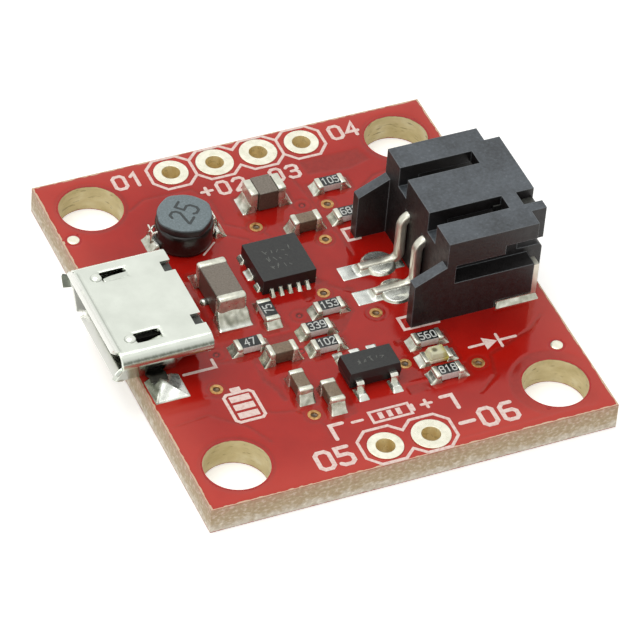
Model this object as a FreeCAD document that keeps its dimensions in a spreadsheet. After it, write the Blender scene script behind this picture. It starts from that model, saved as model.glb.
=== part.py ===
import FreeCAD, Part
import Sketcher
import math
import os

# Battery charger board: a small printed circuit with a charging socket on one edge,
# a two-pin battery socket on the opposite edge, and the parts of a charger and a voltage converter.
# Origin: centre of the four mounting holes, on the underside of the board. +X points to the
# battery socket, +Y to the row of four header holes, +Z up. Lengths in millimetres.

doc = FreeCAD.newDocument("battery_charger_board")
sheet = doc.addObject("Spreadsheet::Sheet", "sizes")

driving_sizes = {
    # board and its drilled holes
    "board_length": 22.6,
    "board_width": 25.4,
    "board_thickness": 1.6,
    "mount_inset_x": 2.41,
    "mount_inset_y": 2.54,
    "mount_hole_radius": 1.75,
    "header_pitch": 2.54,
    "header_inset": 1.27,
    "header_bore_radius": 0.51,
    "header_ring_radius": 0.95,
    "inner_ring_radius": 1.04,
    "plating_thickness": 0.05,
    "pad_thickness": 0.04,
    "via_bore_radius": 0.19,
    "via_ring_radius": 0.35,
    "layout_pitch": 0.635,
    # small chip parts
    "chip_length": 1.6,
    "chip_width": 0.8,
    "chip_band_length": 0.32,
    "resistor_height": 0.45,
    "capacitor_height": 0.8,
    "chip_pad_length": 0.32,
    "chip_pad_margin": 0.06,
    "chip_pad_inset": 0.36,
    "solder_climb": 0.62,
    "solder_share": 0.85,
    "band_thickness": 0.015,
    "band_edge_radius": 0.05,
    # larger output capacitor and the largest input capacitor
    "output_length": 2.05,
    "output_width": 1.25,
    "output_height": 1.25,
    "output_band_length": 0.46,
    "output_pad_length": 0.42,
    "input_length": 3.2,
    "input_width": 1.6,
    "input_height": 1.55,
    "input_band_length": 0.5,
    "input_pad_length": 0.7,
    # inductor
    "coil_base_width": 3.3,
    "coil_base_height": 0.42,
    "coil_waist_radius": 0.8,
    "coil_top_radius": 1.55,
    "coil_top_thickness": 0.5,
    "coil_bevel_width": 0.12,
    "coil_height": 1.85,
    "coil_terminal_width": 1.3,
    "coil_terminal_height": 0.95,
    "coil_tip_width": 0.6,
    "coil_terminal_thickness": 0.18,
    "coil_pad_length": 0.42,
    # converter chip, a flat square package with ten terminals on its sides
    "converter_width": 3.0,
    "converter_height": 0.95,
    "converter_pitch": 0.5,
    "converter_terminal_width": 0.24,
    "converter_terminal_height": 0.3,
    "converter_terminal_depth": 0.35,
    "converter_tab_width": 0.2,
    "converter_pad_length": 0.36,
    # charger chip, a moulded package with five bent leads
    "charger_length": 2.9,
    "charger_depth": 1.6,
    "charger_height": 1.1,
    "charger_standoff_height": 0.1,
    "charger_draft": 8,
    "charger_pitch": 0.95,
    "charger_lead_width": 0.4,
    "charger_lead_thickness": 0.15,
    "charger_span_length": 2.9,
    "charger_foot_length": 0.42,
    "charger_bend_radius": 0.03,
    # status lamp
    "lamp_base_height": 0.22,
    "lamp_height": 0.6,
    "lamp_band_length": 0.26,
    "lamp_lens_inset": 0.05,
    # charging socket
    "usb_overhang": 1.28,
    "usb_length": 5.0,
    "usb_width": 7.5,
    "usb_height": 2.58,
    "usb_knee_height": 1.86,
    "usb_bottom_width": 5.5,
    "usb_wall": 0.26,
    "usb_corner_radius": 0.34,
    "usb_skirt_length": 3.3,
    "usb_lip_length": 0.56,
    "usb_lip_angle": 33,
    "usb_low_lip_angle": 20,
    "usb_lip_width": 6.2,
    "usb_side_lip_height": 0.7,
    "usb_side_lip_length": 0.44,
    "usb_side_lip_width": 0.24,
    "usb_window_offset": 2.38,
    "usb_window_width": 0.92,
    "usb_window_length": 1.4,
    "usb_window_setback": 1.1,
    "usb_leaf_width": 0.5,
    "usb_leaf_depth": 0.16,
    "usb_bump_radius": 0.36,
    "usb_bump_height": 0.14,
    "usb_notch_offset": 2.1,
    "usb_notch_width": 0.78,
    "usb_notch_depth": 0.6,
    "usb_foot_setback": 2.0,
    "usb_foot_length": 0.78,
    "usb_foot_width": 0.82,
    "usb_pad_length": 1.95,
    "usb_pad_width": 2.4,
    "usb_solder_length": 1.1,
    "usb_tongue_height": 1.45,
    "usb_tongue_thickness": 0.5,
    "usb_tongue_width": 3.8,
    "usb_tongue_setback": 0.5,
    "usb_block_length": 1.9,
    "usb_block_gap": 0.05,
    "usb_block_side_gap": 0.15,
    "usb_contact_pitch": 0.65,
    "usb_contact_width": 0.25,
    "usb_contact_thickness": 0.15,
    "usb_contact_foot_length": 0.95,
    "usb_contact_bend_radius": 0.05,
    "usb_contact_setback": 0.1,
    "usb_contact_clearance": 0.01,
    # how far a cutter runs past a face, and how far joined pieces run into each other
    "cut_margin": 1.0,
    "join_overlap": 0.1,
    # battery socket
    "socket_setback": 0.08,
    "socket_box_length": 6.0,
    "ear_width": 1.0,
    "socket_height": 5.35,
    "shroud_width": 5.9,
    "ear_setback": 0.88,
    "wing_length": 1.75,
    "wing_thickness": 0.6,
    "wing_toe_height": 2.87,
    "wing_root_height": 3.82,
    "cavity_depth": 4.85,
    "cavity_floor_thickness": 0.85,
    "cavity_width": 4.8,
    "cavity_roof_thickness": 0.75,
    "slot_offset": 1.86,
    "slot_width": 1.0,
    "slot_length": 4.13,
    "slot_depth": 1.29,
    "key_notch_length": 1.05,
    "side_slot_length": 1.48,
    "side_slot_base_height": 2.87,
    "side_slot_top_height": 3.29,
    "shroud_corner_radius": 0.3,
    "pocket_setback": 0.53,
    "pocket_step_setback": 3.33,
    "pocket_base_height": 2.5,
    "pocket_low_height": 3.72,
    "pocket_top_height": 4.3,
    "ear_undercut_length": 2.1,
    "ear_undercut_height": 0.5,
    "ear_undercut_inset": 0.12,
    "pin_pitch": 2.0,
    "pin_width": 0.5,
    "pin_clearance": 0.02,
    "pin_height": 3.15,
    "pin_tip_setback": 1.25,
    "pin_drop_gap": 0.02,
    "pin_foot_length": 2.3,
    "pin_bend_radius": 0.02,
    "pin_foot_bend_radius": 0.2,
    "pin_pad_length": 3.6,
    "pin_pad_width": 1.1,
    "pin_pad_gap": 0.49,
    "pin_solder_height": 0.34,
    "tab_thickness": 0.3,
    "tab_shroud_gap": 0.32,
    "tab_height": 2.35,
    "tab_inset": 0.06,
    "tab_gap": 0.02,
    "tab_bend_radius": 0.08,
    "tab_pad_margin": 0.2,
    "tab_foot_gap": 0.1,
}

for row, (alias, value) in enumerate(driving_sizes.items(), start=1):
    sheet.set("A" + str(row), alias)
    sheet.set("B" + str(row), str(value))
    sheet.setAlias("B" + str(row), alias)
doc.recompute()

node_names = []


def size(alias):
    return float(sheet.get(alias))


def node(item, label):
    item.Label = label
    node_names.append(item.Name)
    return item


def bind(item, **formulas):
    for name, formula in formulas.items():
        item.setExpression(name, formula)
    return item


def place(item, x, y, z):
    item.setExpression("Placement.Base.x", x)
    item.setExpression("Placement.Base.y", y)
    item.setExpression("Placement.Base.z", z)
    return item


def make_box(name, x, y, z, length, width, height):
    """A box from its lowest corner and its three sizes."""
    item = doc.addObject("Part::Box", name)
    bind(item, Length=length, Width=width, Height=height)
    return place(item, x, y, z)


def centred_box(name, x, y, z, length, width, height):
    """A box whose plan is centred on x and y."""
    return make_box(name, f"{x} - ({length}) / 2", f"{y} - ({width}) / 2", z, length, width, height)


def upright_cylinder(name, x, y, z, radius, height):
    item = doc.addObject("Part::Cylinder", name)
    bind(item, Radius=radius, Height=height)
    return place(item, x, y, z)


def fuse(name, items):
    item = doc.addObject("Part::MultiFuse", name)
    item.Shapes = items
    return item


def cut(name, base, tool):
    item = doc.addObject("Part::Cut", name)
    item.Base = base
    item.Tool = tool
    return item


def gather(name, items):
    item = doc.addObject("Part::Compound", name)
    item.Links = items
    return item


def round_edges(name, base, radius, chosen=lambda edge: True):
    """Rounds each edge of the base that is chosen."""
    doc.recompute()
    item = doc.addObject("Part::Fillet", name)
    item.Base = base
    edges = enumerate(base.Shape.Edges, start=1)
    item.Edges = [(index, radius, radius) for index, edge in edges if chosen(edge)]
    return item


def trapezoid(name, along, start, end, low, high, low_half, high_half):
    """A prism along x from start to end, wider at one height than at the other."""
    item = doc.addObject("Part::Wedge", name)
    bind(item, Xmin=f"-({low_half})", Xmax=low_half, X2min=f"-({high_half})", X2max=high_half)
    bind(item, Ymin=low, Ymax=high, Zmin=start, Zmax=end, Z2min=start, Z2max=end)
    item.Placement.Rotation = FreeCAD.Rotation(FreeCAD.Vector(1, 1, 1), 120)
    return item


def shape_feature(name, shape, x, y, z, turn=0):
    """A solid drawn in its own frame, then turned about Z and put in its place."""
    item = doc.addObject("Part::Feature", name)
    item.Shape = shape
    item.Placement = FreeCAD.Placement(
        FreeCAD.Vector(0, 0, 0), FreeCAD.Rotation(FreeCAD.Vector(0, 0, 1), turn)
    )
    return place(item, x, y, z)


def bent_strip(path, thickness, width, radii):
    """A strip bent along a path of (x, z) points, with one inner radius for each bend."""
    points = [FreeCAD.Vector(x, 0, z) for x, z in path]
    side = FreeCAD.Vector(0, 1, 0)
    half = thickness / 2
    forward = []
    back = []
    previous = points[0]
    for index, point in enumerate(points[1:-1], start=1):
        arrive = (point - points[index - 1]).normalize()
        leave = (points[index + 1] - point).normalize()
        turn = arrive.getAngle(leave)
        middle_radius = radii[index - 1] + half
        tangent = middle_radius * math.tan(turn / 2)
        start = point - arrive * tangent
        end = point + leave * tangent
        inward = (leave - arrive).normalize()
        centre = point + inward * (middle_radius / math.cos(turn / 2))
        middle = centre - inward * middle_radius
        add_run(forward, back, previous, start, side, half)
        add_arc(forward, back, (start, middle, end), centre, arrive, side, half)
        previous = end
    add_run(forward, back, previous, points[-1], side, half)
    first_edge = Part.LineSegment(back[0].EndPoint, forward[0].StartPoint)
    last_edge = Part.LineSegment(forward[-1].EndPoint, back[-1].StartPoint)
    outline = forward + [last_edge] + back[::-1] + [first_edge]
    wire = Part.Wire([curve.toShape() for curve in outline])
    face = Part.Face(wire)
    face.translate(FreeCAD.Vector(0, -width / 2, 0))
    return face.extrude(FreeCAD.Vector(0, width, 0))


def add_run(forward, back, start, end, side, half):
    offset = (end - start).normalize().cross(side) * half
    forward.append(Part.LineSegment(start + offset, end + offset))
    back.append(Part.LineSegment(end - offset, start - offset))


def add_arc(forward, back, points, centre, arrive, side, half):
    offset = arrive.cross(side)
    grow = half if (points[0] - centre).dot(offset) > 0 else -half
    outer = [point + (point - centre).normalize() * grow for point in points]
    inner = [point - (point - centre).normalize() * grow for point in points]
    forward.append(Part.Arc(outer[0], outer[1], outer[2]))
    back.append(Part.Arc(inner[2], inner[1], inner[0]))


def solder_slope(name, x, y, turn, reach, rise, width):
    """Solder on a pad, hollow in section, that leans on the face of a part at x, y."""
    corner = FreeCAD.Vector(0, -width / 2, 0)
    top = corner + FreeCAD.Vector(0, 0, rise)
    toe = corner + FreeCAD.Vector(reach, 0, 0)
    chord = top - toe
    bend = 0.8 * math.atan2(min(reach, rise), max(reach, rise))
    sag = chord.Length / 2 * math.tan(bend / 2)
    hollow = (top + toe) / 2 - FreeCAD.Vector(rise, 0, reach).normalize() * sag
    edges = [
        Part.LineSegment(corner, toe).toShape(),
        Part.Arc(toe, hollow, top).toShape(),
        Part.LineSegment(top, corner).toShape(),
    ]
    wedge = Part.Face(Part.Wire(edges)).extrude(FreeCAD.Vector(0, width, 0))
    return shape_feature(name, wedge, x, y, seat, turn)


def step_place(column, row):
    """A place on the board's layout grid, as formulas. A column may already be one."""
    x = column if isinstance(column, str) else f"({column} * sizes.layout_pitch)"
    return x, f"({row} * sizes.layout_pitch)"


coil_x, coil_y = step_place(-8.03, 10.05)
converter_x, converter_y = step_place(-2.14, 3.78)
charger_x, charger_y = step_place(0, -10.08)
top_of_board = "sizes.board_thickness"
seat = "(sizes.board_thickness + sizes.pad_thickness)"

# The battery socket's main places and spans, which the parts behind it keep clear of
socket_mouth = "(sizes.board_length / 2 - sizes.socket_setback)"
socket_rear = f"({socket_mouth} - sizes.socket_box_length)"
ear_front = f"({socket_mouth} - sizes.ear_setback)"
socket_span = "(sizes.shroud_width + 2 * sizes.ear_width)"
undercut_width = "(sizes.ear_width - sizes.ear_undercut_inset)"
pin_drop = f"({socket_rear} - sizes.pin_drop_gap - sizes.pin_bend_radius - sizes.pin_width / 2)"
pin_pad_end = f"({pin_drop} + sizes.pin_width / 2 - sizes.pin_pad_length)"

# Joints are collected here as the parts are made, and become three groups of solder.
chip_solder = []


def solder_pad(name, x, y, length, width):
    """Tinned copper under and around a part's foot."""
    return centred_box(name, x, y, top_of_board, length, width, "sizes.pad_thickness")


def joint(name, pad, slopes):
    """One pad with the solder that climbs from it."""
    return fuse(name, [pad] + slopes)


# Drilled holes: plated holes of the two header rows, and small vias
header_line = "(sizes.board_width / 2 - sizes.header_inset)"


def header_places():
    """Centre of each plated hole as formulas, with its ring size."""
    back_row = [(-1.5, "header_ring"), (-0.5, "inner_ring"), (0.5, "inner_ring"), (1.5, "header_ring")]
    front_row = [(-0.5, "header_ring"), (0.5, "inner_ring")]
    places = []
    for index, (step, ring) in enumerate(back_row, start=1):
        places.append((f"header_hole_{index}", step, header_line, ring))
    for index, (step, ring) in enumerate(front_row, start=1):
        places.append((f"supply_hole_{index}", step, f"-{header_line}", ring))
    return places


# Columns and rows of the small vias, in layout steps
via_places = [
    (-1.8, 9.3), (5.0, 10.0), (3.1, 6.0), (0.35, 0.0), (3.5, -3.6),
    (9.0, -11.8), (-12.3, -7.6), (-6.0, -12.9), (3.3, -9.9),
]


def make_plated_hole(label, x, y, ring_radius, bore_radius):
    """A plated barrel with a ring proud of the top and a ring flush with the underside."""
    barrel_radius = f"{bore_radius} + sizes.plating_thickness"
    barrel = upright_cylinder(f"{label}_barrel", x, y, "0", barrel_radius, top_of_board)
    top_ring = upright_cylinder(f"{label}_top", x, y, top_of_board, ring_radius, "sizes.pad_thickness")
    low_ring = upright_cylinder(f"{label}_low", x, y, "0", ring_radius, "sizes.pad_thickness")
    bore = upright_cylinder(f"{label}_bore", x, y, "0", bore_radius, seat)
    return cut(f"{label}_plating", fuse(f"{label}_solid", [barrel, top_ring, low_ring]), bore)


def plated_hole_room(label, x, y, ring_radius, bore_radius):
    """The room in the board that a plated hole takes."""
    drill_radius = f"{bore_radius} + sizes.plating_thickness"
    drill = upright_cylinder(f"{label}_drill", x, y, "0", drill_radius, top_of_board)
    recess = upright_cylinder(f"{label}_recess", x, y, "0", ring_radius, "sizes.pad_thickness")
    return [drill, recess]


def make_board():
    blank = centred_box(
        "board_blank", "0", "0", "0", "sizes.board_length", "sizes.board_width", "sizes.board_thickness"
    )
    rooms = []
    for index, (side_x, side_y) in enumerate([(-1, -1), (1, -1), (-1, 1), (1, 1)], start=1):
        x = f"{side_x} * (sizes.board_length / 2 - sizes.mount_inset_x)"
        y = f"{side_y} * (sizes.board_width / 2 - sizes.mount_inset_y)"
        drill = upright_cylinder(f"mount_drill_{index}", x, y, "0", "sizes.mount_hole_radius", top_of_board)
        rooms.append(drill)
    for label, step, y, ring in header_places():
        x = f"{step} * sizes.header_pitch"
        rooms += plated_hole_room(label, x, y, f"sizes.{ring}_radius", "sizes.header_bore_radius")
    for index, steps in enumerate(via_places, start=1):
        name = f"via_{index}"
        x, y = step_place(*steps)
        rooms += plated_hole_room(name, x, y, "sizes.via_ring_radius", "sizes.via_bore_radius")
    node(cut("board", blank, fuse("board_rooms", rooms)), "circuit_board")


def make_holes():
    for label, step, y, ring in header_places():
        x = f"{step} * sizes.header_pitch"
        plating = make_plated_hole(label, x, y, f"sizes.{ring}_radius", "sizes.header_bore_radius")
        node(plating, label)
    vias = []
    for index, steps in enumerate(via_places, start=1):
        name = f"via_{index}_lining"
        x, y = step_place(*steps)
        vias.append(make_plated_hole(name, x, y, "sizes.via_ring_radius", "sizes.via_bore_radius"))
    node(gather("vias", vias), "via_linings")


# Chip resistors and capacitors: a body between two metal bands, soldered at both ends
class ChipKind:
    def __init__(self, length, width, height, band, reach):
        self.length = length
        self.width = width
        self.height = height
        self.band = band
        self.reach = reach


small_resistor = ChipKind(
    "chip_length", "chip_width", "resistor_height", "chip_band_length", "chip_pad_length"
)
small_capacitor = ChipKind(
    "chip_length", "chip_width", "capacitor_height", "chip_band_length", "chip_pad_length"
)
output_capacitor = ChipKind(
    "output_length", "output_width", "output_height", "output_band_length", "output_pad_length"
)
input_capacitor = ChipKind(
    "input_length", "input_width", "input_height", "input_band_length", "input_pad_length"
)

# One resistor keeps clear of the pads of the battery pins
behind_pins = f"({pin_pad_end} - sizes.pin_pad_gap - sizes.chip_pad_length - sizes.chip_length / 2)"

# Name, kind, column and row in layout steps, and whether the part lies along Y
chip_places = [
    ("resistor_1", small_resistor, 6.05, 12.0, False),
    ("resistor_2", small_resistor, 6.05, 8.0, False),
    ("resistor_3", small_resistor, -7.95, -4.0, False),
    ("resistor_4", small_resistor, behind_pins, -2.0, False),
    ("resistor_5", small_resistor, -2.0, -4.02, False),
    ("resistor_6", small_resistor, -2.0, -6.05, False),
    ("resistor_7", small_resistor, 6.05, -8.08, False),
    ("resistor_8", small_resistor, 6.05, -12.2, False),
    ("resistor_9", small_resistor, -5.03, -0.9, True),
    ("capacitor_1", small_capacitor, 2.05, 7.9, False),
    ("capacitor_2", small_capacitor, -5.95, -5.95, False),
    ("capacitor_3", small_capacitor, -5.98, -9.92, True),
    ("capacitor_4", small_capacitor, -4.0, -11.8, True),
    ("output_capacitor", output_capacitor, 0.0, 12.1, False),
    ("input_capacitor", input_capacitor, -8.03, 2.05, True),
]


def along(turned, length, width):
    """Sizes in x and y of something that may lie along Y."""
    return (width, length) if turned else (length, width)


def shifted(turned, x, y, distance):
    """The place at a distance along the part."""
    return (x, f"({y} + {distance})") if turned else (f"({x} + {distance})", y)


def chip_joints(name, kind, column, row, turned, climb):
    x, y = step_place(column, row)
    pad_length = f"(sizes.{kind.reach} + sizes.chip_pad_inset)"
    pad_width = f"(sizes.{kind.width} + 2 * sizes.chip_pad_margin)"
    for side, word in ((-1, "low"), (1, "high")):
        middle = f"{side} * (sizes.{kind.length} + sizes.{kind.reach} - sizes.chip_pad_inset) / 2"
        pad_x, pad_y = shifted(turned, x, y, middle)
        pad = solder_pad(f"{name}_{word}_pad", pad_x, pad_y, *along(turned, pad_length, pad_width))
        face_x, face_y = shifted(turned, x, y, f"{side} * sizes.{kind.length} / 2")
        turn = (90 if turned else 0) + (180 if side < 0 else 0)
        slope = solder_slope(
            f"{name}_{word}_slope", face_x, face_y, turn, size(kind.reach), climb, size(kind.width)
        )
        chip_solder.append(joint(f"{name}_{word}_joint", pad, [slope]))


def make_chip(name, kind, column, row, turned):
    x, y = step_place(column, row)
    body_length = f"(sizes.{kind.length} - 2 * sizes.{kind.band})"
    body_width = f"(sizes.{kind.width} - 2 * sizes.band_thickness)"
    body_height = f"(sizes.{kind.height} - 2 * sizes.band_thickness)"
    body_base = f"({seat} + sizes.band_thickness)"
    body = centred_box(f"{name}_core", x, y, body_base, *along(turned, body_length, body_width), body_height)
    node(body, f"{name}_body")
    bands = []
    for side in (-1, 1):
        middle = f"{side} * (sizes.{kind.length} - sizes.{kind.band}) / 2"
        band_x, band_y = shifted(turned, x, y, middle)
        plan = along(turned, f"sizes.{kind.band}", f"sizes.{kind.width}")
        band = centred_box(f"{name}_band_{side + 1}", band_x, band_y, seat, *plan, f"sizes.{kind.height}")
        bands.append(round_edges(f"{name}_round_{side + 1}", band, size("band_edge_radius")))
    node(gather(f"{name}_bands", bands), f"{name}_terminals")
    climb = size("solder_climb") * size(kind.height)
    chip_joints(name, kind, column, row, turned, climb)


# Status lamp: a thin base with two metal ends and a clear lens
lamp_place = (6.0, -10.1)


def make_lamp():
    x, y = step_place(*lamp_place)
    inner = "(sizes.chip_length - 2 * sizes.lamp_band_length)"
    base = centred_box("lamp_base", x, y, seat, inner, "sizes.chip_width", "sizes.lamp_base_height")
    node(base, "status_lamp_base")
    ends = []
    for side in (-1, 1):
        end_x = f"({x} + {side} * (sizes.chip_length - sizes.lamp_band_length) / 2)"
        end = centred_box(
            f"lamp_end_{side + 1}", end_x, y, seat, "sizes.lamp_band_length", "sizes.chip_width",
            "sizes.lamp_base_height + sizes.pad_thickness",
        )
        ends.append(end)
    node(gather("lamp_ends", ends), "status_lamp_terminals")
    lens = doc.addObject("Part::Wedge", "lamp_lens")
    half = f"({inner} / 2)"
    taper = "sizes.lamp_lens_inset"
    bind(lens, Xmin=f"-{half}", Xmax=half, X2min=f"{taper} - {half}", X2max=f"{half} - {taper}")
    bind(lens, Ymin="0", Ymax="sizes.lamp_height - sizes.lamp_base_height")
    depth = "(sizes.chip_width / 2)"
    bind(lens, Zmin=f"-{depth}", Zmax=depth, Z2min=f"{taper} - {depth}", Z2max=f"{depth} - {taper}")
    lens.Placement.Rotation = FreeCAD.Rotation(FreeCAD.Vector(1, 0, 0), 90)
    place(lens, x, y, f"{seat} + sizes.lamp_base_height")
    node(lens, "status_lamp_lens")
    lamp = ChipKind("chip_length", "chip_width", "lamp_base_height", "lamp_band_length", "chip_pad_length")
    chip_joints("status_lamp", lamp, *lamp_place, False, size("lamp_base_height"))


# Inductor: a drum core, its dark coated winding and two side terminals
def octagon(name, width, base, height):
    prism = doc.addObject("Part::Prism", name)
    prism.Polygon = 8
    bind(prism, Circumradius=f"{width} / 2 / cos(22.5)", Height=height)
    prism.Placement.Rotation = FreeCAD.Rotation(FreeCAD.Vector(0, 0, 1), 22.5)
    return place(prism, coil_x, coil_y, base)


def coil_cylinder(name, radius, base, height):
    return upright_cylinder(name, coil_x, coil_y, base, radius, height)


def make_inductor():
    flange_base = f"({seat} + sizes.coil_height - sizes.coil_top_thickness)"
    winding_base = f"({seat} + sizes.coil_base_height)"
    winding_height = "(sizes.coil_height - sizes.coil_top_thickness - sizes.coil_base_height)"
    foot = octagon("coil_foot", "sizes.coil_base_width", seat, "sizes.coil_base_height")
    waist = coil_cylinder("coil_waist", "sizes.coil_waist_radius", winding_base, winding_height)
    flange = coil_cylinder("coil_flange", "sizes.coil_top_radius", flange_base, "sizes.coil_top_thickness")
    doc.recompute()
    bevelled = doc.addObject("Part::Chamfer", "coil_flange_bevel")
    bevelled.Base = flange
    top = size("board_thickness") + size("pad_thickness") + size("coil_height")
    bevel = size("coil_bevel_width")
    for index, edge in enumerate(flange.Shape.Edges, start=1):
        if abs(edge.BoundBox.ZMin - top) < 1e-6:
            bevelled.Edges = [(index, bevel, bevel)]
    node(fuse("coil_core", [foot, waist, bevelled]), "inductor_core")
    jacket = octagon("coil_jacket", "sizes.coil_base_width", winding_base, winding_height)
    room = coil_cylinder("coil_waist_room", "sizes.coil_waist_radius", winding_base, winding_height)
    node(cut("coil_winding", jacket, room), "inductor_winding")
    terminals = []
    for side in (-1, 1):
        offset = "(sizes.coil_base_width / 2 + sizes.coil_terminal_thickness / 2)"
        terminal_x = f"({coil_x} + {side} * {offset})"
        clip = centred_box(
            f"coil_clip_{side + 1}", terminal_x, coil_y, seat, "sizes.coil_terminal_thickness",
            "sizes.coil_terminal_width", "sizes.coil_base_height",
        )
        tip = centred_box(
            f"coil_tip_{side + 1}", terminal_x,
            f"({coil_y} + (sizes.coil_terminal_width - sizes.coil_tip_width) / 2)", seat,
            "sizes.coil_terminal_thickness", "sizes.coil_tip_width", "sizes.coil_terminal_height",
        )
        terminal = fuse(f"coil_terminal_{side + 1}", [clip, tip])
        terminals.append(terminal)
        pad_length = "(sizes.coil_pad_length + 2 * sizes.coil_terminal_thickness)"
        pad_offset = "(sizes.coil_base_width / 2 + sizes.coil_pad_length / 2)"
        pad = solder_pad(
            f"coil_pad_{side + 1}", f"({coil_x} + {side} * {pad_offset})", coil_y,
            pad_length, "sizes.coil_terminal_width",
        )
        face = f"({coil_x} + {side} * (sizes.coil_base_width / 2 + sizes.coil_terminal_thickness))"
        slope = solder_slope(
            f"coil_slope_{side + 1}", face, coil_y, 0 if side > 0 else 180,
            size("coil_pad_length") * size("solder_share"), size("coil_base_height"),
            size("coil_terminal_width") * size("solder_share"),
        )
        chip_solder.append(joint(f"coil_joint_{side + 1}", pad, [slope]))
    node(gather("coil_terminals", terminals), "inductor_terminals")


# Converter chip: a flat square package, terminals flush with two of its sides.
# Bare pad ends beside it: middle and length along Y, in shares of the package's side
converter_tabs = [(-0.32, 0.25), (0.06, 0.31), (0.45, 0.24)]


def make_converter():
    x, y = converter_x, converter_y
    side = "sizes.converter_width"
    block = centred_box("converter_block", x, y, seat, side, side, "sizes.converter_height")
    terminals = []
    rooms = []
    for row_side in (-1, 1):
        for index in range(5):
            place_x = f"({x} + {index - 2} * sizes.converter_pitch)"
            place_y = f"({y} + {row_side} * ({side} - sizes.converter_terminal_depth) / 2)"
            name = f"converter_{row_side + 1}_{index}"
            measures = (
                "sizes.converter_terminal_width", "sizes.converter_terminal_depth",
                "sizes.converter_terminal_height",
            )
            terminals.append(centred_box(f"{name}_terminal", place_x, place_y, seat, *measures))
            rooms.append(centred_box(f"{name}_room", place_x, place_y, seat, *measures))
            pad_y = f"({y} + {row_side} * ({side} + sizes.converter_pad_length) / 2)"
            pad = solder_pad(
                f"{name}_pad", place_x, pad_y, "sizes.converter_terminal_width", "sizes.converter_pad_length"
            )
            slope = solder_slope(
                f"{name}_slope", place_x, f"({y} + {row_side} * {side} / 2)", 90 * row_side,
                size("converter_pad_length"), size("converter_terminal_height") * size("solder_share"),
                size("converter_terminal_width"),
            )
            chip_solder.append(joint(f"{name}_joint", pad, [slope]))
    for row_side in (-1, 1):
        for index, (offset, length) in enumerate(converter_tabs):
            pad = centred_box(
                f"converter_tab_{row_side + 1}_{index}",
                f"({x} + {row_side} * ({side} + sizes.converter_tab_width) / 2)",
                f"({y} + {offset} * {side})", top_of_board, "sizes.converter_tab_width",
                f"{length} * {side}", "sizes.pad_thickness",
            )
            chip_solder.append(pad)
    node(cut("converter", block, fuse("converter_rooms", rooms)), "converter_chip_body")
    node(gather("converter_terminals", terminals), "converter_chip_terminals")


# Charger chip: a moulded package that narrows above and below its parting line
def make_charger():
    body = doc.addObject("PartDesign::Body", "charger_package")
    sketch = body.newObject("Sketcher::SketchObject", "charger_outline")
    plane = [item for item in body.Origin.OriginFeatures if item.Role == "XY_Plane"][0]
    sketch.AttachmentSupport = [(plane, "")]
    sketch.MapMode = "FlatFace"
    half_length = size("charger_length") / 2
    half_depth = size("charger_depth") / 2
    corners = [
        (-half_length, -half_depth), (half_length, -half_depth),
        (half_length, half_depth), (-half_length, half_depth),
    ]
    for index, corner in enumerate(corners):
        following = corners[(index + 1) % 4]
        sketch.addGeometry(
            Part.LineSegment(FreeCAD.Vector(*corner, 0), FreeCAD.Vector(*following, 0)), False
        )
    for index in range(4):
        sketch.addConstraint(Sketcher.Constraint("Coincident", index, 2, (index + 1) % 4, 1))
    for index in (0, 2):
        sketch.addConstraint(Sketcher.Constraint("Horizontal", index))
        sketch.addConstraint(Sketcher.Constraint("Vertical", index + 1))
    sketch.addConstraint(Sketcher.Constraint("Symmetric", 0, 1, 2, 1, -1, 1))
    length_rule = sketch.addConstraint(Sketcher.Constraint("DistanceX", 0, 1, 0, 2, half_length * 2))
    depth_rule = sketch.addConstraint(Sketcher.Constraint("DistanceY", 1, 1, 1, 2, half_depth * 2))
    sketch.setExpression(f"Constraints[{length_rule}]", "sizes.charger_length")
    sketch.setExpression(f"Constraints[{depth_rule}]", "sizes.charger_depth")
    pad = body.newObject("PartDesign::Pad", "charger_moulding")
    pad.Profile = sketch
    pad.SideType = "Two sides"
    half_height = "(sizes.charger_height - sizes.charger_standoff_height) / 2"
    pad.setExpression("Length", half_height)
    pad.setExpression("Length2", half_height)
    pad.setExpression("TaperAngle", "-sizes.charger_draft")
    pad.setExpression("TaperAngle2", "-sizes.charger_draft")
    middle = f"{seat} + (sizes.charger_height + sizes.charger_standoff_height) / 2"
    place(body, charger_x, charger_y, middle)
    node(body, "charger_chip_body")

    leads = []
    sole = size("charger_lead_thickness") / 2
    shoulder = (size("charger_height") + size("charger_standoff_height")) / 2
    tip = size("charger_span_length") / 2
    knee = tip - size("charger_foot_length")
    path = [(size("charger_depth") / 2, shoulder), (knee, shoulder), (knee, sole), (tip, sole)]
    radii = [size("charger_bend_radius")] * 2
    for row_side, steps in ((1, (-1, 0, 1)), (-1, (-1, 1))):
        for step in steps:
            name = f"charger_lead_{row_side + 1}_{step + 1}"
            lead_x = f"({charger_x} + {step} * sizes.charger_pitch)"
            lead = bent_strip(path, size("charger_lead_thickness"), size("charger_lead_width"), radii)
            leads.append(shape_feature(name, lead, lead_x, charger_y, seat, 90 * row_side))
            pad = solder_pad(
                f"{name}_pad", lead_x,
                f"({charger_y} + {row_side} * (sizes.charger_span_length - sizes.charger_foot_length) / 2)",
                "(sizes.charger_lead_width + 4 * sizes.chip_pad_margin)",
                "(sizes.charger_foot_length + 2 * sizes.chip_pad_length)",
            )
            slope = solder_slope(
                f"{name}_slope", lead_x, f"({charger_y} + {row_side} * sizes.charger_span_length / 2)",
                90 * row_side, size("chip_pad_length") * size("solder_share"),
                size("charger_lead_thickness"), size("charger_lead_width"),
            )
            chip_solder.append(joint(f"{name}_joint", pad, [slope]))
    node(gather("charger_leads", leads), "charger_chip_leads")


# Charging socket: a folded metal shell around a plastic block, tongue and five contacts
usb_front = "(-sizes.board_length / 2 - sizes.usb_overhang)"
usb_rear = f"({usb_front} + sizes.usb_length)"


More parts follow.
